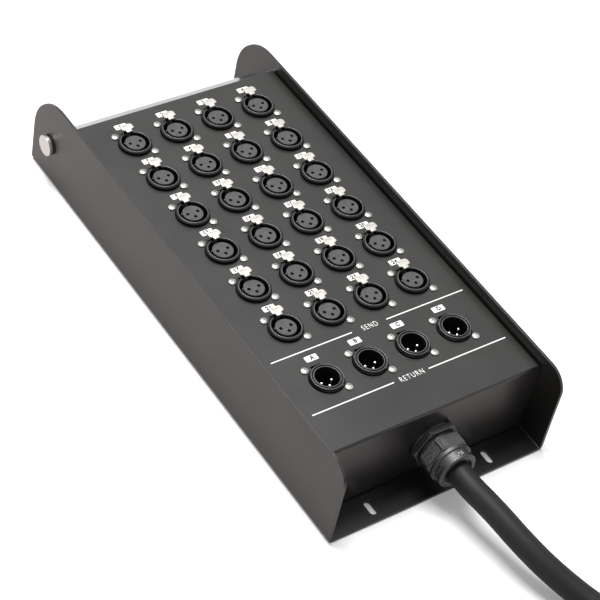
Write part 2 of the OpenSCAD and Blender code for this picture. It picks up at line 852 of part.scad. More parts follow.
module connector_nuts() {
    nut_under = flange_under - screw_nut_t;
    color(nickel) at_all_connectors() at_screws() translate([0, 0, nut_under]) difference() {
        hexagon(screw_nut_af, screw_nut_t);
        translate([0, 0, -eps]) cylinder(d = screw_d, h = screw_nut_t + 2 * eps);
    }
}

// Turns the gland's axis from Z to straight out of the front wall
module at_gland() {
    translate([gland_x, front_wall_y, gland_z]) rotate([90, 0, 0]) children();
}

module hexagon(af, h) {
    cylinder(d = af / cos(30), h = h, $fn = 6);
}

// A hexagon whose corners are turned off by the chamfer cone at each end
module chamfered_hexagon(af, h, chamfer) {
    round_r = af / cos(30) / 2;
    intersection() {
        rotate(gland_turn) hexagon(af, h);
        rotate_extrude() polygon([
            [0, 0],
            [round_r - chamfer, 0],
            [round_r, chamfer * 0.6],
            [round_r, h - chamfer * 0.6],
            [round_r - chamfer, h],
            [0, h]
        ]);
    }
}

module gland_washer() {
    color(nylon_black) at_gland() difference() {
        cylinder(d = body_af + 1, h = seal_washer_t);
        translate([0, 0, -eps]) cylinder(r = thread_r + thread_fit, h = seal_washer_t + 2 * eps);
    }
}

module gland_body() {
    color(nylon_black) at_gland() difference() {
        union() {
            translate([0, 0, seal_washer_t]) chamfered_hexagon(body_af, body_t, 2);
            translate([0, 0, -shank_l]) cylinder(r = thread_r, h = shank_l + seal_washer_t + eps);
            translate([0, 0, body_top - eps]) cylinder(r = neck_r, h = body_end - body_top);
        }
        translate([0, 0, -shank_l - eps]) cylinder(r = cable_hole_r, h = shank_l + body_end + 1);
    }
}

// The dome nut: hexagon, collar and a nose with two open crescents that show its ribs
module gland_nut() {
    collar_r = nut_af / 2 + 0.6;
    color(nylon_black) at_gland() difference() {
        union() {
            difference() {
                union() {
                    translate([0, 0, nut_start]) chamfered_hexagon(nut_af, nut_hex_l - collar_l, 1.6);
                    translate([0, 0, nut_hex_top - collar_l - eps])
                        cylinder(r = collar_r, h = collar_l + eps);
                    translate([0, 0, nut_hex_top - eps]) rotate_extrude() polygon([
                        [0, 0],
                        [nut_nose_r, 0],
                        [nut_nose_r, nut_nose_l - 1],
                        [nut_nose_r - 1, nut_nose_l],
                        [0, nut_nose_l]
                    ]);
                }
                nose_crescents();
                grip_panel();
            }
            nose_ribs();
            flat_ridges();
        }
        translate([0, 0, nut_start - eps]) cylinder(r = neck_r + fit, h = shoulder_z - nut_start);
        translate([0, 0, nut_start]) cylinder(r = nose_bore_r, h = nut_hex_l + nut_nose_l + 1);
        translate([0, 0, nose_end - 1]) cylinder(r1 = nose_bore_r, r2 = nose_bore_r + 1, h = 1 + eps);
    }
}

module nose_crescents() {
    for (turn = [bridge_to, bridge_to + 180]) rotate(turn) translate([0, 0, crescent_start])
        rotate_extrude(angle = 180 + bridge_from - bridge_to) translate([slot_floor_r, 0])
            square([slot_depth + 1, crescent_l]);
}

module nose_ribs() {
    rib_step = 12;
    rib_w = 1.2;
    for (turn = [0:rib_step:359]) rotate(turn)
        translate([slot_floor_r - 0.5, -rib_w / 2, crescent_start - eps])
            cube([slot_depth - 0.6, rib_w, crescent_l + 2 * eps]);
}

// A shallow sunk panel on one flat of the dome nut
module grip_panel() {
    panel_w = 11;
    panel_depth = 0.35;
    rotate(gland_turn + 150) translate([nut_af / 2 - panel_depth, -panel_w / 2, nut_start + flat_edge])
        cube([1, panel_w, flat_l]);
}

// Two low ridges along the next flat of the dome nut
module flat_ridges() {
    ridge_w = 0.7;
    ridge_sunk = 0.5;
    for (y = [3.2, 4.8]) rotate(gland_turn + 90)
        translate([nut_af / 2 - ridge_sunk, y, nut_start + flat_edge])
            cube([ridge_sunk + 0.4, ridge_w, flat_l]);
}

module gland_seal() {
    color("#141414") at_gland() difference() {
        union() {
            translate([0, 0, body_end]) cylinder(r = neck_r, h = shoulder_z - body_end - eps);
            translate([0, 0, body_end]) cylinder(r = nose_bore_r - fit, h = seal_front_z - body_end);
        }
        translate([0, 0, body_end - eps]) cylinder(d = cable_d, h = seal_front_z);
    }
}

module gland_locknut() {
    color(nylon_black) at_gland() translate([0, 0, -sheet_t - lock_nut_t]) difference() {
        rotate(gland_turn) hexagon(body_af + 3, lock_nut_t);
        translate([0, 0, -eps]) cylinder(r = thread_r, h = lock_nut_t + 2 * eps);
    }
}

module inner_cable() {
    color(cable_black) at_gland() translate([0, 0, -jacket_end_l])
        cylinder(d = cable_d, h = jacket_end_l + seal_front_z);
}

// The pairs leave the jacket, run under the connectors and rise to every contact
module wiring_loom() {
    start_y = front_wall_y + jacket_end_l;
    end_y = send_y(0) + branch_r;
    row_l = 2 * (column_x(columns - 1) + contact_r + branch_r);
    rows = [return_y, for (r = [0:send_rows - 1]) send_y(r)];
    color("#7a3b34") {
        along_y(start_y, end_y) translate([gland_x, gland_z]) circle(trunk_loom_r);
        for (y = rows) translate([0, y - contact_r / 2, branch_z]) rotate([0, 90, 0])
            cylinder(r = branch_r, h = row_l, center = true);
        at_sends() for (p = send_contacts) wire(p);
        at_returns() for (p = return_contacts) wire(p);
    }
}

module wire(p) {
    wire_l = contact_bottom - branch_z + solder_depth - eps;
    translate([p[0], p[1], branch_z]) cylinder(r = wire_r, h = wire_l);
}

module multicore_cable() {
    color(cable_black) tube(cable_route, cable_d, route_sides);
}

coil_count = round(coil_turns * loop_rings);
coil_path = concat(
    [entry],
    [for (i = [0:coil_count]) coil_point(coil_turns * i / coil_count)],
    [exit_point]
);

module cable_coil() {
    color(cable_black) tube(coil_path, cable_d, coil_sides);
}

module cable_tail() {
    color(cable_black) tube(tail_route, cable_d, route_sides);
}

module coil_ties() {
    in_r = inner_r - cable_d / 2 - tie_gap;
    out_r = outer_r + cable_d / 2 + tie_gap;
    high = coil_top + tie_gap + tie_t - tie_floor;
    wide = out_r - in_r + 2 * tie_t;
    color("#1f1f20") for (place = tie_places)
        translate([coil_x, place[1] + tie_w / 2, tie_floor]) rotate([90, 0, 0])
            linear_extrude(tie_w) scale([place[0], 1]) translate([in_r - tie_t, 0]) {
                difference() {
                    rounded_box_outline(wide, high, tie_corner_r);
                    translate([tie_t, tie_t])
                        rounded_box_outline(wide - 2 * tie_t, high - 2 * tie_t, tie_corner_r - tie_t);
                }
                translate([eps - tie_lap, high / 4]) square([tie_lap, high / 2]);
            }
}

// Turns the trunk connector's axis from Z to the cable's way, with its width level
module at_trunk() {
    translate(hood_entry) rotate([0, 0, hood_turn]) rotate([90, 0, 90]) children();
}

module hood_block(w, t, l, r) {
    translate([-w / 2, -t / 2, 0]) linear_extrude(l) rounded_box_outline(w, t, r);
}

// The space inside the hood's walls
module hood_cavity(l) {
    hood_block(hood_w - 2 * hood_wall, hood_t - 2 * hood_wall, l, hood_round_r - 2);
}

module trunk_hood() {
    body_l = hood_l - shoulder_l;
    step_w = hood_w * 0.62;
    step_t = hood_t * 0.86;
    start = trunk_nut_l + trunk_hex_l;
    color("#8b8d8f") at_trunk() translate([0, 0, start]) difference() {
        union() {
            translate([0, 0, shoulder_l]) hood_block(hood_w, hood_t, body_l, hood_round_r);
            hull() {
                hood_block(step_w, step_t, 2, hood_round_r, $fn = 32);
                translate([0, 0, shoulder_l]) hood_block(hood_w, hood_t, 1, hood_round_r, $fn = 32);
            }
            for (side = [-1, 1]) translate([side * (hood_w / 2 - eps), 0, hood_l - peg_inset])
                rotate([0, side * 90, 0]) cylinder(r = peg_r, h = peg_h);
        }
        translate([0, 0, shoulder_l]) hood_cavity(body_l + 1);
        translate([0, 0, -eps]) cylinder(r = cable_hole_r, h = shoulder_l + 1);
    }
}

module trunk_gland() {
    color(nylon_black) at_trunk() difference() {
        union() {
            translate([0, 0, trunk_nut_l]) hexagon(trunk_nut_af + 3, trunk_hex_l);
            hexagon(trunk_nut_af, trunk_nut_l - 1);
            translate([0, 0, trunk_nut_l - 1 - eps]) cylinder(d = trunk_nut_af - 3, h = 1 + 2 * eps);
        }
        translate([0, 0, trunk_nut_l]) cylinder(r = cable_hole_r, h = trunk_hex_l + 1);
    }
}

module trunk_insert() {
    insert_l = 30;
    face = trunk_nut_l + trunk_hex_l + hood_l - insert_inset;
    middle = [(trunk_pins[0] - 1) / 2, (trunk_pins[1] - 1) / 2];
    color(insert_grey) at_trunk() {
        translate([0, 0, face - insert_l]) hood_cavity(insert_l);
        for (x = [0:trunk_pins[0] - 1], y = [0:trunk_pins[1] - 1])
            translate([(x - middle[0]) * trunk_pin_pitch, (y - middle[1]) * trunk_row_pitch, face - eps])
                cylinder(r = 1, h = insert_inset - 1);
    }
}

// The least gap of the hank to itself, measured between axis points most of a turn apart
measure_steps = 800;
measured = [for (i = [0:measure_steps]) coil_point(coil_turns * i / measure_steps)];
apart = ceil(0.6 * measure_steps / coil_turns);
spans = [for (i = [0:measure_steps - apart], j = [i + apart:measure_steps]) norm(measured[i] - measured[j])];
coil_gap = min(spans) - cable_d;
cable_total = path_length(cable_route) + path_length(coil_path) + path_length(tail_route);
echo(coil_gap = coil_gap, cable_total = cable_total);

base_tray();
top_cover();
cover_screws();
cover_nuts();
handle_bar();
handle_bolts();
handle_washers();
female_shells();
female_inserts();
female_contacts();
latch_pins();
latch_springs();
male_shells();
male_inserts();
male_pins();
connector_screws();
connector_nuts();
gland_washer();
gland_body();
gland_nut();
gland_seal();
gland_locknut();
inner_cable();
wiring_loom();
multicore_cable();
cable_coil();
cable_tail();
coil_ties();
trunk_hood();
trunk_gland();
trunk_insert();
for (i = [1:send_count]) latch(i);
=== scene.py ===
import math

import bmesh
import bpy
from mathutils import Matrix, Vector


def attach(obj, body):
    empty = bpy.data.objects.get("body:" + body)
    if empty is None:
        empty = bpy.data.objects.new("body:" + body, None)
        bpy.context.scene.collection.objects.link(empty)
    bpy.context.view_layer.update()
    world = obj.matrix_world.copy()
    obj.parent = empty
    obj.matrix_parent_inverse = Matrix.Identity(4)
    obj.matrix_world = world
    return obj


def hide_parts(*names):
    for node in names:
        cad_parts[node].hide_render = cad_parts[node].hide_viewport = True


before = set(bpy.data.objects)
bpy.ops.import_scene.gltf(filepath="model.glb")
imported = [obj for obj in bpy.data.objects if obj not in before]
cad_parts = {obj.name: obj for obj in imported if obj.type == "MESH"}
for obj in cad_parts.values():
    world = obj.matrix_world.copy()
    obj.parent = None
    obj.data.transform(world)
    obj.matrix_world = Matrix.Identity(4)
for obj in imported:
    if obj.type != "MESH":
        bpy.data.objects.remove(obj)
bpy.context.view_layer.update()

# Camera: it stands far off, above the box's front left corner, with a long lens, as the
# photograph's did. Sizes are written in millimetres and multiplied by MM.
MM = 0.001
lens = bpy.data.cameras.new("photo_camera")
lens.sensor_width = 36
lens.lens = 117.12
camera = bpy.data.objects.new("photo_camera", lens)
bpy.context.scene.collection.objects.link(camera)
camera.location = Vector((-658.05, -736.62, 988.21)) * MM
camera.rotation_euler = [math.radians(angle) for angle in (44.319, -9.096, -33.609)]
bpy.context.scene.camera = camera
bpy.context.scene.view_settings.view_transform = "Standard"

# Multicore cable: 28 screened pairs under one round jacket of matt black PVC. It droops from the
# gland to the floor, and its put-away length is folded into a hank of four layers, a diameter apart.
cable_d = 17.5
gland_x = 3.5
gland_z = 30
turn_pitch = 18.1
layer_turns = 1.9
wave = 2 * layer_turns + 1
inner_r = 54
coil_middle_x = 14.7
coil_floor = 10.75
near_fold_y = -464
far_fold_y = -726.5
fold_share = 0.235
start_angle = 41
coil_turns = 4 * layer_turns + 1.5
rings_per_turn = 36
hood_turn = math.radians(90)
hood_way = Vector((math.cos(hood_turn), math.sin(hood_turn), 0))
hood_entry = Vector((-54, far_fold_y + 25, 95.6))


def climbed(turns, layer):
    """How far the cable has climbed onto a layer, from 0 to 1, after so many turns."""
    start = layer * layer_turns + (layer - 1) / 2
    s = max(0, min(1, (turns - start) * 2))
    return s * s * (3 - 2 * s)


def part_of(share, start, length):
    """How much of a stretch of the turn lies behind a share of it."""
    return max(0, min(length, share - start))


def coil_point(turns):
    """The cable's middle line in the hank: half a fold, a run, a fold, a run and half a fold."""
    share = ((90 - start_angle) / 180 * fold_share + turns) % 1
    half = fold_share / 2
    run = 0.5 - fold_share
    folded = part_of(share, 0, half) + part_of(share, 0.5 - half, fold_share)
    folded += part_of(share, 1 - half, half)
    along = (part_of(share, half, run) - part_of(share, 0.5 + half, run)) / run
    angle = math.radians(90 - 180 * folded / fold_share)
    across = abs((turns - layer_turns - 0.25 + 1.5 * wave) % wave - wave / 2)
    r = inner_r + turn_pitch * across
    y = near_fold_y + (far_fold_y - near_fold_y) * along + r * math.sin(angle)
    rise = turn_pitch * sum(climbed(turns, layer) for layer in (1, 2, 3))
    return Vector((coil_middle_x + r * math.cos(angle), y, coil_floor + rise))


turn = math.radians(start_angle)
entry_way = Vector((math.sin(turn), -math.cos(turn), 0))
coil_entry = coil_point(0) - cable_d * entry_way
droop = [(gland_x, -205, gland_z), (gland_x, -222.5, gland_z), (5.5, -235, 29), (7.6, -249, 27.4)]
droop += [(9.6, -263, 25.2), (12.3, -276, 22.6), (16.4, -290, 19.2), (22.8, -307, 15.2)]
droop += [(29, -322, 12.6), (35.7, -336.5, 11.55), (43.4, -350.5, 11.05), (52.2, -363.8, 10.85)]
droop += [coil_entry - cable_d * entry_way]
exit_way = Vector((0, -1, 0))
coil_exit = coil_point(coil_turns)
exit_point = coil_exit + cable_d * exit_way
tail_start = exit_point + cable_d / 2 * exit_way
climbing = [(108.3, 0.1, 0.04), (109.8, 0.23, 0.13), (111.2, 0.36, 0.25), (112, 0.5, 0.38)]
climbing += [(112, 0.63, 0.5), (112, 0.76, 0.6), (112, 0.88, 0.68), (112, 1, 0.74)]
turning = [(107.9, 25.6, 0.79), (96.1, 48.8, 0.84), (77.8, 67.1, 0.88), (54.6, 78.9, 0.92)]
turning += [(29, 83, 0.95), (3.4, 78.9, 0.98), (-19.8, 67.1, 0.99), (-38.1, 48.8, 1)]
turning += [(-49.9, 25.6, 1), (-54, 0, 1)]
tail = [(x, tail_start.y + along * (far_fold_y - tail_start.y), up) for x, along, up in climbing]
tail += [(x, far_fold_y - beyond, up) for x, beyond, up in turning]
rings = round(coil_turns * rings_per_turn)
route = droop + [coil_entry] + [coil_point(coil_turns * i / rings) for i in range(rings + 1)]
route += [exit_point, tail_start]
route += [(x, y, coil_exit.z + share * (hood_entry.z - coil_exit.z)) for x, y, share in tail]
route += [hood_entry - cable_d * hood_way, hood_entry]
cable_line = bpy.data.curves.new("snake_cable", "CURVE")
cable_line.dimensions = "3D"
cable_line.bevel_depth = cable_d / 2 * MM
cable_line.bevel_resolution = 5
cable_line.resolution_u = 4
cable_line.use_fill_caps = True
spline = cable_line.splines.new("BEZIER")
spline.bezier_points.add(len(route) - 1)
for knot, point in zip(spline.bezier_points, route):
    knot.co = Vector(point) * MM
    knot.handle_left_type = "AUTO"
    knot.handle_right_type = "AUTO"
cable = bpy.data.objects.new("snake_cable", cable_line)
bpy.context.scene.collection.objects.link(cable)


def add_node(tree, kind, settings=None, **inputs):
    """Adds a node. An input is a value or another node's socket; _ in its name is a space."""
    node = tree.nodes.new(kind)
    for name, value in (settings or {}).items():
        setattr(node, name, value)
    for name, value in inputs.items():
        socket = node.inputs[name.replace("_", " ")]
        if isinstance(value, bpy.types.NodeSocket):
            tree.links.new(value, socket)
        else:
            socket.default_value = value
    return node


def colour(hex_code):
    """A screen colour such as #504e4c as the linear values that a shader takes."""
    parts = [int(hex_code[i:i + 2], 16) / 255 for i in (1, 3, 5)]
    return [p / 12.92 if p <= 0.04045 else ((p + 0.055) / 1.055) ** 2.4 for p in parts] + [1]


def start_group(name, inputs, outputs):
    """Starts a node group with named inputs and outputs, and gives it with its two end nodes."""
    group = bpy.data.node_groups.new(name, "ShaderNodeTree")
    for socket_name, kind in inputs.items():
        group.interface.new_socket(socket_name, in_out="INPUT", socket_type="NodeSocket" + kind)
    for socket_name, kind in outputs.items():
        group.interface.new_socket(socket_name, in_out="OUTPUT", socket_type="NodeSocket" + kind)
    return group, group.nodes.new("NodeGroupInput"), group.nodes.new("NodeGroupOutput")


# Uneven tone: two shades of one finish, mixed in soft patches
tone_group, taken, given = start_group(
    "uneven_tone",
    {"Vector": "Vector", "Scale": "Float", "Dark": "Color", "Light": "Color"},
    {"Color": "Color"},
)
patches = add_node(tone_group, "ShaderNodeTexNoise", Vector=taken.outputs["Vector"], Detail=3.0)
tone_group.links.new(taken.outputs["Scale"], patches.inputs["Scale"])
spread = add_node(tone_group, "ShaderNodeMapRange", Value=patches.outputs["Fac"], From_Min=0.35)
spread.inputs["From Max"].default_value = 0.65
mixed = add_node(tone_group, "ShaderNodeMixRGB", Fac=spread.outputs["Result"])
tone_group.links.new(taken.outputs["Dark"], mixed.inputs["Color1"])
tone_group.links.new(taken.outputs["Light"], mixed.inputs["Color2"])
tone_group.links.new(mixed.outputs["Color"], given.inputs["Color"])

# Fine grain: the height of a sprayed, moulded or cast skin, and its patchy gloss
grain_group, taken, given = start_group(
    "fine_grain",
    {"Vector": "Vector", "Scale": "Float", "Roughness": "Float", "Spread": "Float"},
    {"Height": "Float", "Roughness": "Float"},
)
pores = add_node(grain_group, "ShaderNodeTexNoise", Vector=taken.outputs["Vector"], Detail=2.0)
grain_group.links.new(taken.outputs["Scale"], pores.inputs["Scale"])
wiped = add_node(grain_group, "ShaderNodeTexNoise", Vector=taken.outputs["Vector"], Scale=35.0, Detail=4.0)
centred = add_node(grain_group, "ShaderNodeMath", {"operation": "SUBTRACT"})
grain_group.links.new(wiped.outputs["Fac"], centred.inputs[0])
centred.inputs[1].default_value = 0.5
gloss = add_node(grain_group, "ShaderNodeMath", {"operation": "MULTIPLY_ADD"})
grain_group.links.new(centred.outputs["Value"], gloss.inputs[0])
grain_group.links.new(taken.outputs["Spread"], gloss.inputs[1])
grain_group.links.new(taken.outputs["Roughness"], gloss.inputs[2])
grain_group.links.new(pores.outputs["Fac"], given.inputs["Height"])
grain_group.links.new(gloss.outputs["Value"], given.inputs["Roughness"])

# Soft edges: an edge's rounding as a normal, and a mask of where handling rubs it
edge_group, taken, given = start_group(
    "soft_edges", {"Radius": "Float"}, {"Mask": "Float", "Normal": "Vector"}
)
rounded = add_node(edge_group, "ShaderNodeBevel", {"samples": 6}, Radius=taken.outputs["Radius"])
flat_way = add_node(edge_group, "ShaderNodeNewGeometry")
turned = add_node(edge_group, "ShaderNodeVectorMath", {"operation": "DOT_PRODUCT"})
edge_group.links.new(rounded.outputs["Normal"], turned.inputs[0])
edge_group.links.new(flat_way.outputs["Normal"], turned.inputs[1])
rubbed = add_node(
    edge_group, "ShaderNodeMapRange", Value=turned.outputs["Value"], From_Min=1.0, From_Max=0.75, To_Min=0.0
)
edge_group.links.new(rubbed.outputs["Result"], given.inputs["Mask"])
edge_group.links.new(rounded.outputs["Normal"], given.inputs["Normal"])


def use_group(tree, group, **inputs):
    """Places a shared effect in a material with that material's own values."""
    return add_node(tree, "ShaderNodeGroup", {"node_tree": group}, **inputs)


def start_finish(name, roughness, metallic=0.0):
    """A new material: its tree, its shader and its object coordinates."""
    material = bpy.data.materials.new(name)
    material.use_nodes = True
    tree = material.node_tree
    shader = tree.nodes["Principled BSDF"]
    shader.inputs["Roughness"].default_value = roughness
    shader.inputs["Metallic"].default_value = metallic
    return material, tree, shader, tree.nodes.new("ShaderNodeTexCoord").outputs["Object"]


def skin(name, dark, light, roughness, metallic=0.0, patch=30.0, grain=900.0, depth=0.02, spread=0.1,
         edge=0.25, rub="#777777", rubbed_by=0.3, specular=0.5):
    """The finish of a sprayed, moulded, plated or cast piece, with its soft and rubbed edges."""
    material, tree, shader, place = start_finish(name, roughness, metallic)
    shader.inputs["Specular IOR Level"].default_value = specular
    tone = use_group(tree, tone_group, Vector=place, Scale=patch, Dark=colour(dark), Light=colour(light))
    fine = use_group(tree, grain_group, Vector=place, Scale=grain, Roughness=roughness, Spread=spread)
    edges = use_group(tree, edge_group, Radius=edge * MM)
    worn = add_node(tree, "ShaderNodeMath", {"operation": "MULTIPLY"})
    tree.links.new(edges.outputs["Mask"], worn.inputs[0])
    worn.inputs[1].default_value = rubbed_by
    base = add_node(tree, "ShaderNodeMixRGB", Fac=worn.outputs["Value"], Color1=tone.outputs["Color"])
    base.inputs["Color2"].default_value = colour(rub)
    bump = add_node(tree, "ShaderNodeBump", Height=fine.outputs["Height"], Distance=depth * MM)
    tree.links.new(edges.outputs["Normal"], bump.inputs["Normal"])
    tree.links.new(base.outputs["Color"], shader.inputs["Base Color"])
    tree.links.new(fine.outputs["Roughness"], shader.inputs["Roughness"])
    tree.links.new(bump.outputs["Normal"], shader.inputs["Normal"])
    return material


jacket = skin("cable_jacket", "#121112", "#171617", 0.55, patch=14.0, grain=1500.0, depth=0.03,
              rubbed_by=0.0, specular=0.25)
cable_line.materials.append(jacket)
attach(cable, "box")
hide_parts("multicore_cable", "cable_coil", "cable_tail")


def start_fresh():
    """Leaves edit mode with nothing selected, so an operator acts on the next piece alone."""
    if bpy.context.mode != "OBJECT":
        bpy.ops.object.mode_set(mode="OBJECT")
    bpy.ops.object.select_all(action="DESELECT")


def add_block(name, low, high):
    """Adds a block between two corners in millimetres, with its place in its mesh."""
    start_fresh()
    low = Vector(low) * MM
    high = Vector(high) * MM
    bpy.ops.mesh.primitive_cube_add(size=1, location=(low + high) / 2, scale=high - low)
    bpy.ops.object.transform_apply()
    bpy.context.object.name = name
    return bpy.context.object


def add_disc(name, r, low, high, sides=48):
    """Adds an upright cylinder between two heights in millimetres, on the Z axis."""
    start_fresh()
    middle = (low + high) / 2 * MM
    depth = (high - low) * MM
    bpy.ops.mesh.primitive_cylinder_add(vertices=sides, radius=r * MM, depth=depth, location=(0, 0, middle))
    bpy.ops.object.transform_apply()
    bpy.context.object.name = name
    return bpy.context.object


def pick(kind, test):
    """In edit mode, selects the VERT, EDGE or FACE items whose middle and way pass the test."""
    bpy.ops.mesh.select_mode(type=kind)
    bpy.ops.mesh.select_all(action="DESELECT")
    work = bmesh.from_edit_mesh(bpy.context.object.data)
    work.normal_update()
    if kind == "FACE":
        for face in work.faces:
            face.select_set(test(face.calc_center_median() / MM, face.normal))
    elif kind == "EDGE":
        for edge in work.edges:
            a, b = [vert.co for vert in edge.verts]
            edge.select_set(test((a + b) / 2 / MM, (b - a).normalized()))
    else:
        for vert in work.verts:
            vert.select_set(test(vert.co / MM, vert.normal))
    work.select_flush_mode()
    bmesh.update_edit_mesh(bpy.context.object.data)


def soften(piece, width, segments=2, angle=30):
    """Rounds a piece's sharp edges by a width in millimetres and smooths its shading."""
    start_fresh()
    bpy.context.view_layer.objects.active = piece
    piece.select_set(True)
    if width:
        rounding = piece.modifiers.new("rounding", "BEVEL")
        rounding.width = width * MM
        rounding.segments = segments
        rounding.angle_limit = math.radians(angle)
        bpy.ops.object.modifier_apply(modifier="rounding")
    bpy.ops.object.shade_smooth_by_angle(angle=math.radians(angle))


def dress(piece, material, body="box"):
    """Gives a new piece its material and the body that it rides on."""
    piece.data.materials.clear()
    piece.data.materials.append(material)
    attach(piece, body)


def coat_node(name, material):
    """Gives a carried-over CAD node its material."""
    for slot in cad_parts[name].material_slots:
        slot.material = material


def join(pieces):
    """Joins pieces into the first of them."""
    start_fresh()
    for piece in pieces:
        piece.select_set(True)
    bpy.context.view_layer.objects.active = pieces[0]
    bpy.ops.object.join()
    return pieces[0]


# Ties: two hook-and-loop straps of woven black nylon, each drawn round all the turns on one side
# of the hank and pressed onto itself on the inner side.
tie_in = 43.35
tie_out = 107.9
tie_top = 75.8
tie_w = 25
tie_t = 1.4
tie_corner_r = 8
lap_z = 38
lap_l = 40
strap, tree, shader, _ = start_finish("tie_fabric", 0.85)
cloth_place = add_node(tree, "ShaderNodeUVMap").outputs["UV"]
ribs = add_node(tree, "ShaderNodeTexWave", {"bands_direction": "X"}, Vector=cloth_place, Scale=0.55)
picks = add_node(tree, "ShaderNodeTexWave", {"bands_direction": "Y"}, Vector=cloth_place, Scale=0.8)
fuzz = add_node(tree, "ShaderNodeTexNoise", Vector=cloth_place, Scale=2.5, Detail=4.0)
weave = add_node(tree, "ShaderNodeMath", {"operation": "MULTIPLY"})
tree.links.new(ribs.outputs["Fac"], weave.inputs[0])
tree.links.new(picks.outputs["Fac"], weave.inputs[1])
raised = add_node(tree, "ShaderNodeMath", {"operation": "MULTIPLY_ADD"})
tree.links.new(fuzz.outputs["Fac"], raised.inputs[0])
raised.inputs[1].default_value = 0.7
tree.links.new(weave.outputs["Value"], raised.inputs[2])
thread = add_node(tree, "ShaderNodeMixRGB", Fac=raised.outputs["Value"], Color1=colour("#151516"))
thread.inputs["Color2"].default_value = colour("#333335")
nap = add_node(tree, "ShaderNodeBump", Height=raised.outputs["Value"], Distance=0.3 * MM)
tree.links.new(thread.outputs["Color"], shader.inputs["Base Color"])
tree.links.new(nap.outputs["Normal"], shader.inputs["Normal"])
shader.inputs["Sheen Weight"].default_value = 0.2
for number, tie_y, angle in ((1, near_fold_y - 28, 0), (2, far_fold_y + 161, 180)):
    tie = add_block(f"tie_{number}", (tie_in, -tie_w / 2, 0.05), (tie_out, tie_w / 2, tie_top))
    bpy.ops.object.mode_set(mode="EDIT")
    pick("FACE", lambda middle, way: abs(way.y) > 0.9)
    bpy.ops.mesh.delete(type="FACE")
    pick("EDGE", lambda middle, way: abs(way.y) > 0.9)
    bpy.ops.mesh.bevel(offset=tie_corner_r * MM, segments=8)
    bpy.ops.mesh.select_all(action="SELECT")
    bpy.ops.mesh.normals_make_consistent(inside=False)
    bpy.ops.object.mode_set(mode="OBJECT")
    wall = tie.modifiers.new("wall", "SOLIDIFY")
    wall.thickness = tie_t * MM
    wall.offset = -1
    bpy.ops.object.modifier_apply(modifier="wall")
    soften(tie, 0.4)
    low = (tie_in - 1.1, -tie_w / 2, lap_z - lap_l / 2)
    lap = add_block("lap", low, (tie_in + 0.1, tie_w / 2, lap_z + lap_l / 2))
    bpy.ops.object.mode_set(mode="EDIT")
    pick("EDGE", lambda at, way: at.x < tie_in and abs(at.z - lap_z) > lap_l / 2 - 1 and abs(way.y) > 0.9)
    bpy.ops.mesh.bevel(offset=0.9 * MM, segments=3)
    bpy.ops.object.mode_set(mode="OBJECT")
    soften(lap, 0.2)
    join([tie, lap])
    bpy.ops.object.mode_set(mode="EDIT")
    bpy.ops.mesh.select_all(action="SELECT")
    bpy.ops.mesh.subdivide(number_cuts=1)
    bpy.ops.object.mode_set(mode="OBJECT")
    cloth_map = tie.data.uv_layers.active or tie.data.uv_layers.new(name="UVMap")
    for corner in tie.data.loops:
        point = tie.data.vertices[corner.vertex_index].co / MM
        cloth_map.data[corner.index].uv = (point.y, point.x + point.z)
    to_place = Matrix.Translation((coil_middle_x * MM, tie_y * MM, 0))
    tie.data.transform(to_place @ Matrix.Rotation(math.radians(angle), 4, "Z"))
    dress(tie, strap)
    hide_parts("coil_ties")

# Trunk connector: a die-cast grey hood closed by a locking lever, with a nylon cable gland and a
# moulded plastic face of 24 gilt contacts. It lies on the hank, its broad side down.
hood_l = 84
hood_w = 68
hood_t = 43
hood_start = 20
shoulder_l = 22
hood_wall = 3
hood_depth = 56
contact_columns = 8
contact_rows = 3
contact_gap_x = 5.6
contact_gap_y = 8.4
laid_down = Matrix(((0, 0, 1, 0), (1, 0, 0, 0), (0, 1, 0, 0), (0, 0, 0, 1)))
at_trunk = Matrix.Translation(hood_entry * MM) @ Matrix.Rotation(hood_turn, 4, "Z") @ laid_down
hood_paint = skin("hood_metal", "#7f8184", "#8b8d8f", 0.5, metallic=0.25, patch=25.0, grain=1100.0,
                  depth=0.06, edge=0.5, rub="#b4b6b8", rubbed_by=0.5)
hood_end = hood_start + hood_l
hood_low = (-hood_w / 2, -hood_t / 2, hood_start + shoulder_l)
hood = add_block("hood_shell", hood_low, (hood_w / 2, hood_t / 2, hood_end))
bpy.ops.object.mode_set(mode="EDIT")
pick("FACE", lambda middle, way: way.z < -0.9)
bpy.ops.mesh.extrude_region_move(TRANSFORM_OT_translate={"value": (0, 0, -shoulder_l * MM)})
bpy.ops.transform.resize(value=(0.62, 0.86, 1))
pick("EDGE", lambda middle, way: abs(way.z) > 0.5 or middle.z < hood_end - 1)
bpy.ops.mesh.bevel(offset=5 * MM, segments=5)
pick("FACE", lambda middle, way: way.z > 0.9)
bpy.ops.mesh.inset(thickness=hood_wall * MM)
bpy.ops.mesh.extrude_region_move(TRANSFORM_OT_translate={"value": (0, 0, -hood_depth * MM)})
bpy.ops.object.mode_set(mode="OBJECT")
soften(hood, 0.6)
for side in (-1, 1):
    peg = add_disc("peg", 3, 0, 4.2, 24)
    bpy.ops.object.mode_set(mode="EDIT")
    pick("FACE", lambda middle, way: way.z > 0.9)
    bpy.ops.mesh.inset(thickness=1 * MM)
    bpy.ops.mesh.extrude_region_move(TRANSFORM_OT_translate={"value": (0, 0, -0.6 * MM)})
    bpy.ops.object.mode_set(mode="OBJECT")
    soften(peg, 0.3)
    on_side = Matrix.Translation((side * (hood_w / 2 - 0.2) * MM, 0, (hood_end - 10) * MM))
    peg.data.transform(on_side @ Matrix.Rotation(side * math.pi / 2, 4, "Y"))
    join([hood, peg])
hood.data.transform(at_trunk)
dress(hood, hood_paint)
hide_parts("trunk_hood")

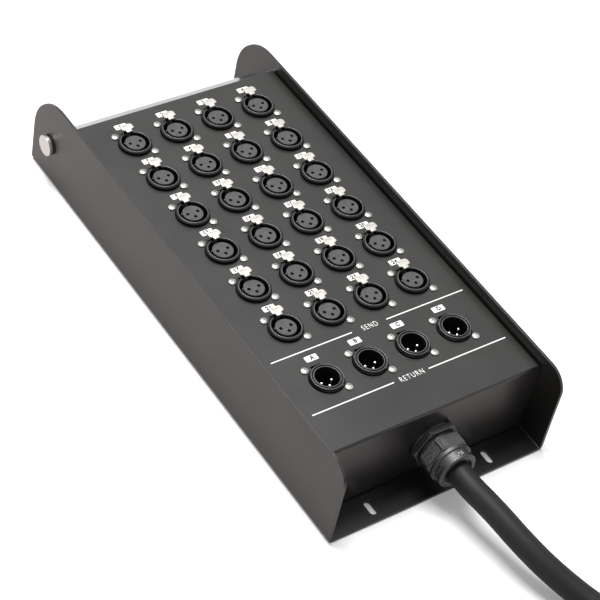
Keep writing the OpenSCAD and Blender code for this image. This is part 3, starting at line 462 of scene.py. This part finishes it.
lever_metal = skin("lever_steel", "#a9a8a4", "#bab9b5", 0.33, metallic=1.0, grain=700.0, depth=0.01,
                   rubbed_by=0.1)
lever_parts = []
for side in (-1, 1):
    low = min(side * (hood_w / 2 + 0.1), side * (hood_w / 2 + 1.3))
    arm = add_block("arm", (low, -5, hood_end - 44), (low + 1.2, 5, hood_end - 4))
    bpy.ops.object.mode_set(mode="EDIT")
    pick("EDGE", lambda middle, way: abs(way.x) > 0.9)
    bpy.ops.mesh.bevel(offset=4.5 * MM, segments=6)
    bpy.ops.object.mode_set(mode="OBJECT")
    soften(arm, 0.25)
    lever_parts.append(arm)
lever = join(lever_parts)
lever.name = "hood_lever"
lever.data.transform(at_trunk)
dress(lever, lever_metal)

nylon = skin("black_nylon", "#151515", "#1b1b1c", 0.45, patch=60.0, grain=1600.0, depth=0.03, edge=0.4,
             rub="#9a9a9c", rubbed_by=0.7, specular=0.7)
cap = add_disc("hood_gland", 17.3, 14, 20.05, 6)
soften(cap, 0.8)
sleeve = add_disc("sleeve", 16.2, 0.0, 13.4, 6)
bpy.ops.object.mode_set(mode="EDIT")
pick("FACE", lambda middle, way: way.z < -0.9)
bpy.ops.mesh.inset(thickness=4.5 * MM)
bpy.ops.mesh.extrude_region_move(TRANSFORM_OT_translate={"value": (0, 0, 1.2 * MM)})
bpy.ops.object.mode_set(mode="OBJECT")
soften(sleeve, 1.2, 3)
neck = add_disc("neck", 13.5, 13, 14.4)
soften(neck, 0.1)
join([cap, sleeve, neck])
cap.data.transform(at_trunk)
dress(cap, nylon)
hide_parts("trunk_gland")


def place_copy(piece, x, y):
    """A copy of a piece with a mesh of its own, moved by x and y in millimetres."""
    copy = piece.copy()
    copy.data = piece.data.copy()
    bpy.context.scene.collection.objects.link(copy)
    copy.data.transform(Matrix.Translation((x * MM, y * MM, 0)))
    return copy


face_plastic = skin("face_plastic", "#5c5a5c", "#666466", 0.5, grain=1300.0, depth=0.03)
face_z = hood_end - 4
face = add_block("hood_face", (-30.9, -18.4, face_z - 30), (30.9, 18.4, face_z))
bpy.ops.object.mode_set(mode="EDIT")
pick("EDGE", lambda middle, way: abs(way.z) > 0.9)
bpy.ops.mesh.bevel(offset=2.5 * MM, segments=4)
pick("FACE", lambda middle, way: way.z > 0.9)
bpy.ops.mesh.inset(thickness=2 * MM)
bpy.ops.mesh.extrude_region_move(TRANSFORM_OT_translate={"value": (0, 0, -1 * MM)})
bpy.ops.object.mode_set(mode="OBJECT")
soften(face, 0.25)
contact = add_disc("contact", 1, face_z - 1.5, face_z + 2.9, 12)
bpy.ops.object.mode_set(mode="EDIT")
pick("FACE", lambda middle, way: way.z > 0.9)
bpy.ops.mesh.extrude_region_move(TRANSFORM_OT_translate={"value": (0, 0, 0)})
bpy.ops.transform.resize(value=(0.5, 0.5, 1))
bpy.ops.object.mode_set(mode="OBJECT")
soften(contact, 0.15)
contacts = []
for column in range(contact_columns):
    for row in range(contact_rows):
        x = (column - (contact_columns - 1) / 2) * contact_gap_x
        y = (row - (contact_rows - 1) / 2) * contact_gap_y
        contacts.append(place_copy(contact, x, y))
bpy.data.objects.remove(contact)
pins = join(contacts)
pins.name = "hood_pins"
gold = skin("pin_gold", "#c9a45c", "#d6b36c", 0.22, metallic=1.0, grain=900.0, depth=0.005, rubbed_by=0.0)
for piece in (face, pins):
    piece.data.transform(at_trunk)
dress(face, face_plastic)
dress(pins, gold)
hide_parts("trunk_insert")

# Tray: one sheet of 2 mm steel folded up at both sides, with its top corners rounded and two slots
# in each open shelf. It is blasted and powder-coated satin black.
powder = skin("box_steel", "#121110", "#171614", 0.33, patch=9.0, grain=1500.0, depth=0.035, spread=0.12,
              edge=0.35, rub="#6a6764", rubbed_by=0.1, specular=0.58)
coat_node("base_tray", powder)

# Carry bar: a polished steel bar tapped at both ends, held by a flat-headed bolt on a black washer
# through each side plate.
bar_chrome = skin("polished_bar", "#c9c9cb", "#d4d4d6", 0.16, metallic=1.0, grain=500.0, depth=0.004,
                  rubbed_by=0.0)
coat_node("handle_bar", bar_chrome)
coat_node("handle_washers", nylon)
brushed, tree, shader, place = start_finish("brushed_bolt", 0.38, 1.0)
along = add_node(tree, "ShaderNodeMapping", Vector=place, Scale=(1.0, 90.0, 2600.0))
lines = add_node(tree, "ShaderNodeTexNoise", Vector=along.outputs["Vector"], Scale=1.0, Detail=3.0)
tone = add_node(tree, "ShaderNodeMixRGB", Fac=lines.outputs["Fac"], Color1=colour("#b9b8b5"))
tone.inputs["Color2"].default_value = colour("#dcdbd8")
edges = use_group(tree, edge_group, Radius=0.3 * MM)
scored = add_node(tree, "ShaderNodeBump", Height=lines.outputs["Fac"], Distance=0.03 * MM)
tree.links.new(edges.outputs["Normal"], scored.inputs["Normal"])
tree.links.new(tone.outputs["Color"], shader.inputs["Base Color"])
tree.links.new(scored.outputs["Normal"], shader.inputs["Normal"])
coat_node("handle_bolts", brushed)

# Cover: one sheet folded into the connector panel, both end walls, side lips and foot flanges. Six
# countersunk screws from below pull it onto the tray through clinch nuts in the flanges.
coat_node("top_cover", powder)
nickel = skin("nickel", "#aeaca8", "#bab7b3", 0.45, metallic=1.0, patch=120.0, grain=1800.0, depth=0.01,
              edge=0.15, rub="#e6e4e0", rubbed_by=0.3)
coat_node("cover_screws", nickel)
coat_node("cover_nuts", nickel)

# Printing: screen ink on the coated panel. Each white label carries a dark number or letter, and
# a white line is ruled on both sides of the words SEND and RETURN.
panel_top = 64
pitch_x = 35
pitch_y = 39.5
send_x = [(column - 1.5) * pitch_x for column in range(4)]
send_y = [122 - row * pitch_y for row in range(6)]
return_y = -124.5
label_w = 9.6
label_l = 4.9
number_h = 3.3
word_h = 4.3
rule_w = 0.9
ink_t = 0.04
ink = skin("white_ink", "#dddcda", "#e6e5e3", 0.5, patch=60.0, grain=2500.0, depth=0.005, edge=0.0,
           rubbed_by=0.0)
dark_ink = skin("dark_ink", "#1b1a1a", "#232221", 0.5, patch=60.0, grain=2500.0, depth=0.005, edge=0.0,
                rubbed_by=0.0, specular=0.3)


def print_words(words, height, middle, stretch=1.0, spacing=1.0, weight=0.0):
    """Lays words flat as a thin layer, centred on a point. It works in millimetres to the last line."""
    start_fresh()
    bpy.ops.object.text_add()
    text = bpy.context.object
    text.data.body = words
    text.data.align_x = "CENTER"
    text.data.align_y = "CENTER"
    text.data.size = height / 0.7
    text.data.space_character = spacing
    text.data.offset = weight
    text.data.resolution_u = 3
    bpy.ops.object.convert(target="MESH")
    text = bpy.context.object
    text.scale = (stretch, 1, 1)
    bpy.ops.object.transform_apply()
    low = Vector([min(v.co[i] for v in text.data.vertices) for i in range(3)])
    high = Vector([max(v.co[i] for v in text.data.vertices) for i in range(3)])
    centre = (low + high) / 2
    text.data.transform(Matrix.Translation(Vector(middle) - centre))
    bpy.ops.object.mode_set(mode="EDIT")
    bpy.ops.mesh.select_all(action="SELECT")
    bpy.ops.mesh.remove_doubles(threshold=0.005)
    bpy.ops.mesh.extrude_region_move(TRANSFORM_OT_translate={"value": (0, 0, 0.02)})
    bpy.ops.mesh.select_all(action="SELECT")
    bpy.ops.mesh.normals_make_consistent(inside=False)
    bpy.ops.object.mode_set(mode="OBJECT")
    text.data.transform(Matrix.Scale(MM, 4))
    return text


def print_label(name, words, x, y, number_x):
    """One white label with its rounded corners and its dark number or letter, set off by number_x."""
    z = panel_top + 0.01
    low = (x - label_w / 2, y - label_l / 2, z)
    label = add_block(name, low, (x + label_w / 2, y + label_l / 2, z + ink_t))
    bpy.ops.object.mode_set(mode="EDIT")
    pick("EDGE", lambda middle, way: abs(way.z) > 0.9)
    bpy.ops.mesh.bevel(offset=0.8 * MM, segments=4)
    bpy.ops.object.mode_set(mode="OBJECT")
    label.data.materials.append(ink)
    number = print_words(words, number_h, (x + number_x, y + 0.2, z + 0.05), 0.92, 1.1, 0.2)
    number.data.materials.append(dark_ink)
    join([label, number])
    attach(label, "box")


for row in range(6):
    for column in range(4):
        number = row * 4 + column + 1
        print_label(f"label_{number:02d}", str(number), send_x[column] + 0.1, send_y[row] + 20.8, -0.4)
for letter, x in zip("ABCD", send_x):
    print_label(f"label_{letter}", letter, x + 1.1, return_y + 20.0, 0.6)
for word, y in (("SEND", -97.2), ("RETURN", -146.1)):
    title = print_words(word, word_h, (1.1, y, panel_top + 0.03), 0.74, 1.24, 0.03)
    title.name = "word_" + word.lower()
    dress(title, ink)
    for side, start, end in (("left", -78.5, -13.5), ("right", 14.8, 80.3)):
        low = (start, y - rule_w / 2, panel_top + 0.01)
        rule = add_block(f"rule_{word.lower()}_{side}", low, (end, y + rule_w / 2, panel_top + 0.01 + ink_t))
        bpy.ops.object.mode_set(mode="EDIT")
        pick("EDGE", lambda middle, way: abs(way.z) > 0.9)
        bpy.ops.mesh.bevel(offset=0.4 * MM, segments=3)
        bpy.ops.object.mode_set(mode="OBJECT")
        dress(rule, ink)

# Send sockets: a black die-cast shell behind the panel with its round nose through it, a grey
# nylon insert and three socket contacts, and a small earthing spring in the left of the gap.
shell_black = skin("connector_black", "#0a0a0a", "#101010", 0.34, patch=80.0, grain=1300.0, depth=0.02,
                   edge=0.3, rub="#5a5a5a", rubbed_by=0.3, specular=0.25)
socket_grey = skin("insert_grey", "#333133", "#403e40", 0.6, patch=330.0, grain=2200.0, depth=0.03,
                   edge=0.2, rub="#8b898b", rubbed_by=0.3)
contact_metal = skin("contact_metal", "#b9b9bb", "#c9c9cb", 0.25, metallic=1.0, patch=200.0, grain=1200.0,
                     depth=0.005, edge=0.1, rubbed_by=0.0)
insert_r = 7.4
insert_foot = 24
insert_top = 65.95
hole_r = 1.28
hole_floor = 30
bead_r = 10.55
rim_top = 66.75


def copy_to_sends(piece, name):
    """Gives each send place its own copy of a piece that stands on the Z axis, and removes the piece."""
    copies = []
    for row in range(6):
        for column in range(4):
            copy = place_copy(piece, send_x[column], send_y[row])
            copy.name = f"{name}_{row * 4 + column + 1:02d}"
            copies.append(copy)
    bpy.data.objects.remove(piece)
    return copies


def add_ring(name, r, half_t, middle):
    """Adds a ring of a low oval section round a point in millimetres."""
    start_fresh()
    bpy.ops.mesh.primitive_torus_add(
        major_radius=r * MM, minor_radius=half_t * MM, major_segments=72, minor_segments=8
    )
    ring = bpy.context.object
    ring.name = name
    bpy.ops.object.mode_set(mode="EDIT")
    bpy.ops.mesh.select_all(action="SELECT")
    bpy.ops.transform.resize(value=(1, 1, 0.7))
    bpy.ops.transform.translate(value=Vector(middle) * MM)
    bpy.ops.object.mode_set(mode="OBJECT")
    return ring


coat_node("female_shells", shell_black)
insert = add_disc("insert", insert_r, insert_foot, insert_top, 56)
bpy.ops.object.mode_set(mode="EDIT")
pick("FACE", lambda middle, way: way.z < -0.9)
bpy.ops.transform.resize(value=(0.86, 0.86, 1))
pick("FACE", lambda middle, way: way.z > 0.9)
bpy.ops.mesh.inset(thickness=0.3 * MM)
bpy.ops.transform.translate(value=(0, 0, 0.25 * MM))
bpy.ops.object.mode_set(mode="OBJECT")
for x, y in ((-4, 0.2), (4, 0.2), (0, -3.8)):
    hole = add_disc("hole", hole_r, hole_floor, insert_top + 4, 24)
    hole.data.transform(Matrix.Translation((x * MM, y * MM, 0)))
    start_fresh()
    bpy.context.view_layer.objects.active = insert
    cut = insert.modifiers.new("cut", "BOOLEAN")
    cut.object = hole
    bpy.ops.object.modifier_apply(modifier="cut")
    bpy.data.objects.remove(hole)
soften(insert, 0)
inserts = join(copy_to_sends(insert, "insert"))
inserts.name = "socket_inserts"
dress(inserts, socket_grey)
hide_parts("female_inserts")
for node in ("female_contacts", "latch_pins", "latch_springs"):
    coat_node(node, contact_metal)
# The rim beads and return ridges are part of the black shell. Their lighter grey metallic colour is a
# painted highlight for the thin light line round each nose rim. The earth springs use the same grey as
# painted shade.
painted_light_grey = skin("rim_bead", "#4a494c", "#565558", 0.45, metallic=0.6, patch=200.0, grain=1300.0,
                  depth=0.01, rubbed_by=0.0)
bead = add_ring("bead", bead_r, 0.42, (0, 0, rim_top + 0.05))
bpy.ops.object.mode_set(mode="EDIT")
pick("FACE", lambda middle, way: abs(middle.x) < 3.6 and middle.y > 0)
bpy.ops.mesh.delete(type="FACE")
bpy.ops.mesh.select_all(action="SELECT")
bpy.ops.mesh.fill_holes(sides=0)
bpy.ops.object.mode_set(mode="OBJECT")
soften(bead, 0)
for copy in copy_to_sends(bead, "rim_bead"):
    dress(copy, painted_light_grey)
spring = add_block("spring", (-8.1, 1.7, 63.6), (-7.7, 2.6, 66.0))
bpy.ops.object.mode_set(mode="EDIT")
pick("FACE", lambda middle, way: way.z > 0.9)
bpy.ops.mesh.extrude_region_move(TRANSFORM_OT_translate={"value": (0.5 * MM, 0, 0.25 * MM)})
bpy.ops.transform.resize(value=(0.7, 0.8, 1))
bpy.ops.object.mode_set(mode="OBJECT")
soften(spring, 0.12)
# Each earth spring is metal. It is dimmed to this grey as painted shade, because it lies in shadow in the
# gap.
for copy in copy_to_sends(spring, "earth_spring"):
    dress(copy, painted_light_grey)

# Latches: a nickel-plated zinc lever on a pin in each send shell. Its broad tab is marked PUSH and
# stands above the panel, and its hook reaches into the socket to hold a plug.
tab_half_w = 4.95
tab_front = 10.5
tab_rear = 16.2
tab_under = 68.7
tab_top = 69.9
tab_corner_r = 2.2
pivot_y = 11.8
pivot_z = 56
tab_metal = skin("latch_nickel", "#a9a6a1", "#b6b3ad", 0.5, metallic=0.9, patch=150.0, grain=1500.0,
                 depth=0.02, edge=0.2, rub="#f0ede6", rubbed_by=0.4)
# The neck, hook and pivot eye are the same nickel-plated metal as the tab. Their near-black colour is
# painted shade, because they lie in shadow inside the socket.
hook_painted_shade = skin("latch_hook_painted_shade", "#0d0d0d", "#151514", 0.4, patch=150.0, grain=1500.0, depth=0.02, edge=0.1,
                  rubbed_by=0.1, specular=0.3)
latch = add_block("latch", (-tab_half_w, tab_front, tab_under), (tab_half_w, tab_rear, tab_top))
bpy.ops.object.mode_set(mode="EDIT")
for x in (-3, 3):
    bpy.ops.mesh.select_all(action="SELECT")
    bpy.ops.mesh.bisect(plane_co=(x * MM, 0, 0), plane_no=(1, 0, 0))
for y in (11.25, 12.35):
    bpy.ops.mesh.select_all(action="SELECT")
    bpy.ops.mesh.bisect(plane_co=(0, y * MM, 0), plane_no=(0, 1, 0))
pick("FACE", lambda middle, way: way.z < -0.9 and abs(middle.x) < 1 and 11.3 < middle.y < 12.3)
for drop in (3.7, 2.9, 6.1, 4.3):
    bpy.ops.mesh.extrude_region_move(TRANSFORM_OT_translate={"value": (0, 0, -drop * MM)})
pick("FACE", lambda middle, way: way.y < -0.9 and 62.2 < middle.z < 64.9)
bpy.ops.mesh.extrude_region_move(TRANSFORM_OT_translate={"value": (0, -1.85 * MM, 0)})
bpy.ops.transform.resize(value=(0.64, 1, 0.3), center_override=(0, 9.35 * MM, 62.2 * MM))
pick("VERT", lambda point, way: abs(point.x) > 4 and point.y < 10.6)
bpy.ops.transform.translate(value=(0, 0.9 * MM, 0))
pick("VERT", lambda point, way: point.x < -4 and point.z > 68)
bpy.ops.transform.translate(value=(0.7 * MM, 0, 0))
pick("FACE", lambda middle, way: way.y < -0.9 and abs(middle.x) < 2 and middle.z > 68.7 and middle.y < 10.6)
bpy.ops.mesh.extrude_region_move(TRANSFORM_OT_translate={"value": (0, 0, 0)})
bpy.ops.transform.resize(value=(0.72, 1, 1))
bpy.ops.mesh.extrude_region_move(TRANSFORM_OT_translate={"value": (0, -2.2 * MM, 0)})
pick("EDGE", lambda at, way: abs(way.z) > 0.9 and abs(at.x) > 4 and not 11.5 <= at.y <= 16)
bpy.ops.mesh.bevel(offset=tab_corner_r * MM, segments=6)
bpy.ops.object.mode_set(mode="OBJECT")
soften(latch, 0.28, 3)
push = print_words("PUSH", 1.5, (0, 14.1, 69.88), 0.95, 1.05, 0.06)
bpy.ops.object.mode_set(mode="EDIT")
pick("VERT", lambda point, way: point.z > 69.885)
bpy.ops.transform.translate(value=(0, 0, 0.08 * MM))
bpy.ops.object.mode_set(mode="OBJECT")
eye = add_disc("eye", 1.6, -3, 3, 24)
bpy.ops.object.mode_set(mode="EDIT")
pick("FACE", lambda middle, way: abs(way.z) > 0.9)
bpy.ops.mesh.inset(thickness=0.75 * MM)
bpy.ops.mesh.bridge_edge_loops()
bpy.ops.object.mode_set(mode="OBJECT")
soften(eye, 0.1)
on_pivot = Matrix.Translation((0, pivot_y * MM, pivot_z * MM))
eye.data.transform(on_pivot @ Matrix.Rotation(math.pi / 2, 4, "Y"))
join([latch, push, eye])
for number, copy in enumerate(copy_to_sends(latch, "push_tab"), 1):
    dress(copy, tab_metal, f"push_latch_{number:02d}")
    copy.data.materials.append(hook_painted_shade)
    # Faces below the tab take the near-black painted shade.
    for part in copy.data.polygons:
        part.material_index = int(part.center.z < (tab_under - 0.4) * MM)
    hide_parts(f"latch_{number:02d}")

# Return plugs: the same shell without a latch, its nose grooved round a deep cup, with a black
# insert on the cup's floor and three round-tipped pins.
coat_node("male_shells", shell_black)
# Each return ridge takes the lighter grey as a painted highlight line.
for letter, x in zip("abcd", send_x):
    for number, r in ((1, 10.8), (2, 8.95)):
        ridge = add_ring(f"return_ridge_{letter}_{number}", r, 0.36, (x, return_y, rim_top))
        soften(ridge, 0)
        dress(ridge, painted_light_grey)
coat_node("male_inserts", shell_black)
pin_metal = skin("pin_metal", "#d8d8da", "#e6e6e8", 0.2, metallic=1.0, patch=200.0, grain=1200.0,
                 depth=0.005, edge=0.1, rubbed_by=0.0)
coat_node("male_pins", pin_metal)

# Connector screws: two nickel-plated pan-head screws with a cross recess hold each connector,
# drawn up against hexagon nuts behind its flange.
coat_node("connector_screws", nickel)
coat_node("connector_nuts", nickel)

# Cable gland: a black nylon body, washer and lock nut clamp the front wall, and the dome nut
# squeezes a rubber seal on the cable. The nut has a gridded patch to grip and moulded pips.
for node in ("gland_washer", "gland_body", "gland_nut", "gland_locknut"):
    coat_node(node, nylon)
rubber = skin("seal_rubber", "#121212", "#181818", 0.6, patch=80.0, grain=1700.0, depth=0.03, rubbed_by=0.0)
coat_node("gland_seal", rubber)
front_wall_y = -177.5
nut_flat_r = 15.28
nut_nose_r = 14.5
patch_w = 9
patch_l = 14
forward = Matrix.Rotation(math.pi / 2, 4, "X")
at_gland = Matrix.Translation((gland_x * MM, front_wall_y * MM, gland_z * MM)) @ forward
start_fresh()
bpy.ops.mesh.primitive_grid_add(x_subdivisions=7, y_subdivisions=11, size=1, location=(0, 0, 0))
grid = bpy.context.object
grid.name = "gland_grid"
grid.scale = (patch_w * MM, patch_l * MM, 1)
bpy.ops.object.transform_apply()
bpy.ops.object.mode_set(mode="EDIT")
bpy.ops.mesh.select_all(action="SELECT")
bpy.ops.mesh.inset(thickness=0.26 * MM, use_individual=True)
bpy.ops.mesh.extrude_region_move(TRANSFORM_OT_translate={"value": (0, 0, -0.55 * MM)})
bpy.ops.object.mode_set(mode="OBJECT")
on_flat = Matrix.Translation((nut_flat_r * MM, 0, 13.2 * MM)) @ Matrix.Rotation(math.pi / 2, 4, "Y")
grid.data.transform(at_gland @ Matrix.Rotation(math.radians(148), 4, "Z") @ on_flat)
dress(grid, nylon)
pips = []
pip_places = [(84, 25.4), (88, 24.4), (80, 24.2), (92, 25.2)]
pip_places += [(85, 26.4), (79, 25.8), (96, 26.6), (108, 25.6)]
for angle, along in pip_places:
    start_fresh()
    bpy.ops.mesh.primitive_ico_sphere_add(subdivisions=2, radius=0.6 * MM)
    pip = bpy.context.object
    bpy.ops.object.mode_set(mode="EDIT")
    bpy.ops.mesh.select_all(action="SELECT")
    bpy.ops.transform.resize(value=(0.7, 1, 1.2))
    bpy.ops.object.mode_set(mode="OBJECT")
    on_nose = Matrix.Translation((nut_nose_r * MM, 0, along * MM))
    pip.data.transform(Matrix.Rotation(math.radians(angle), 4, "Z") @ on_nose)
    pips.append(pip)
pips = join(pips)
pips.name = "gland_pips"
soften(pips, 0)
pips.data.transform(at_gland)
# The pips are black nylon like the nut. Their light grey colour is a painted highlight for the white specks
# where they catch the light.
pip_painted_highlight = skin("pips_painted_highlight", "#8a8a8c", "#9a9a9c", 0.2, patch=60.0, grain=1600.0, depth=0.01, rubbed_by=0.0)
dress(pips, pip_painted_highlight)

# Inner cable and pairs: the jacket is cut back just inside the wall, and the 28 pairs fan out from
# it in their own coloured jackets, each to the back of its connector.
inner = add_disc("inner_jacket", cable_d / 2, -27.4, 27.4)
bpy.ops.object.mode_set(mode="EDIT")
pick("FACE", lambda middle, way: way.z < -0.9)
bpy.ops.mesh.inset(thickness=1.4 * MM)
bpy.ops.mesh.extrude_region_move(TRANSFORM_OT_translate={"value": (0, 0, 2 * MM)})
bpy.ops.object.mode_set(mode="OBJECT")
soften(inner, 0.3)
inner.data.transform(at_gland)
pair_skin = skin("pair_jackets", "#2c3550", "#6b3a34", 0.45, patch=55.0, rubbed_by=0.0)
coat_node("wiring_loom", pair_skin)
dress(inner, jacket)
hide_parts("inner_cable")

# Floor and light: a plain white sweep, a broad lamp from behind and above, a weak one from the left.
# The sweep is a painted board; it shows pure white and keeps the contact shadow.
floor_paint, tree, shader, _ = start_finish("floor_paint", 0.9)
shader.inputs["Specular IOR Level"].default_value = 0.0
rays = add_node(tree, "ShaderNodeLightPath")
paint = add_node(tree, "ShaderNodeMixRGB", Fac=rays.outputs["Is Glossy Ray"], Color1=colour("#f2f2f2"))
paint.inputs["Color2"].default_value = colour("#c8c2c0")
tree.links.new(paint.outputs["Color"], shader.inputs["Base Color"])
seen = add_node(tree, "ShaderNodeMath", {"operation": "MAXIMUM"})
tree.links.new(rays.outputs["Is Camera Ray"], seen.inputs[0])
tree.links.new(rays.outputs["Is Glossy Ray"], seen.inputs[1])
seen_through = add_node(tree, "ShaderNodeMath", {"operation": "MAXIMUM"})
tree.links.new(seen.outputs["Value"], seen_through.inputs[0])
tree.links.new(rays.outputs["Is Transmission Ray"], seen_through.inputs[1])
lift = add_node(tree, "ShaderNodeMath", {"operation": "MULTIPLY"})
tree.links.new(seen_through.outputs["Value"], lift.inputs[0])
lift.inputs[1].default_value = 0.1
shader.inputs["Emission Color"].default_value = (1, 1, 1, 1)
tree.links.new(lift.outputs["Value"], shader.inputs["Emission Strength"])
start_fresh()
bpy.ops.mesh.primitive_plane_add(size=8, location=(0, 0, -0.3 * MM))
floor = bpy.context.object
floor.name = "floor"
floor.data.materials.append(floor_paint)

world = bpy.data.worlds.new("studio")
bpy.context.scene.world = world
world.use_nodes = True
sky = world.node_tree.nodes["Background"]
rays = add_node(world.node_tree, "ShaderNodeLightPath")
seen = add_node(world.node_tree, "ShaderNodeMath", {"operation": "MAXIMUM"})
world.node_tree.links.new(rays.outputs["Is Camera Ray"], seen.inputs[0])
world.node_tree.links.new(rays.outputs["Is Glossy Ray"], seen.inputs[1])
level = add_node(world.node_tree, "ShaderNodeMapRange", Value=seen.outputs["Value"], To_Min=0.5, To_Max=1.0)
world.node_tree.links.new(level.outputs["Result"], sky.inputs["Strength"])
sky.inputs["Color"].default_value = (1, 1, 1, 1)


def add_lamp(name, place, aim, size, power):
    """A square soft lamp at a place in metres, turned to a point."""
    light = bpy.data.lights.new(name, "AREA")
    light.size = size
    light.energy = power
    lamp = bpy.data.objects.new(name, light)
    bpy.context.scene.collection.objects.link(lamp)
    lamp.location = place
    lamp.rotation_euler = (Vector(aim) - Vector(place)).to_track_quat("-Z", "Y").to_euler()


add_lamp("top_lamp", (-0.1, 0.8, 2.45), (0, 0, 0), 1.3, 95)
add_lamp("left_lamp", (-1.8, 0.2, 1.2), (0, 0, 0), 1.2, 3)
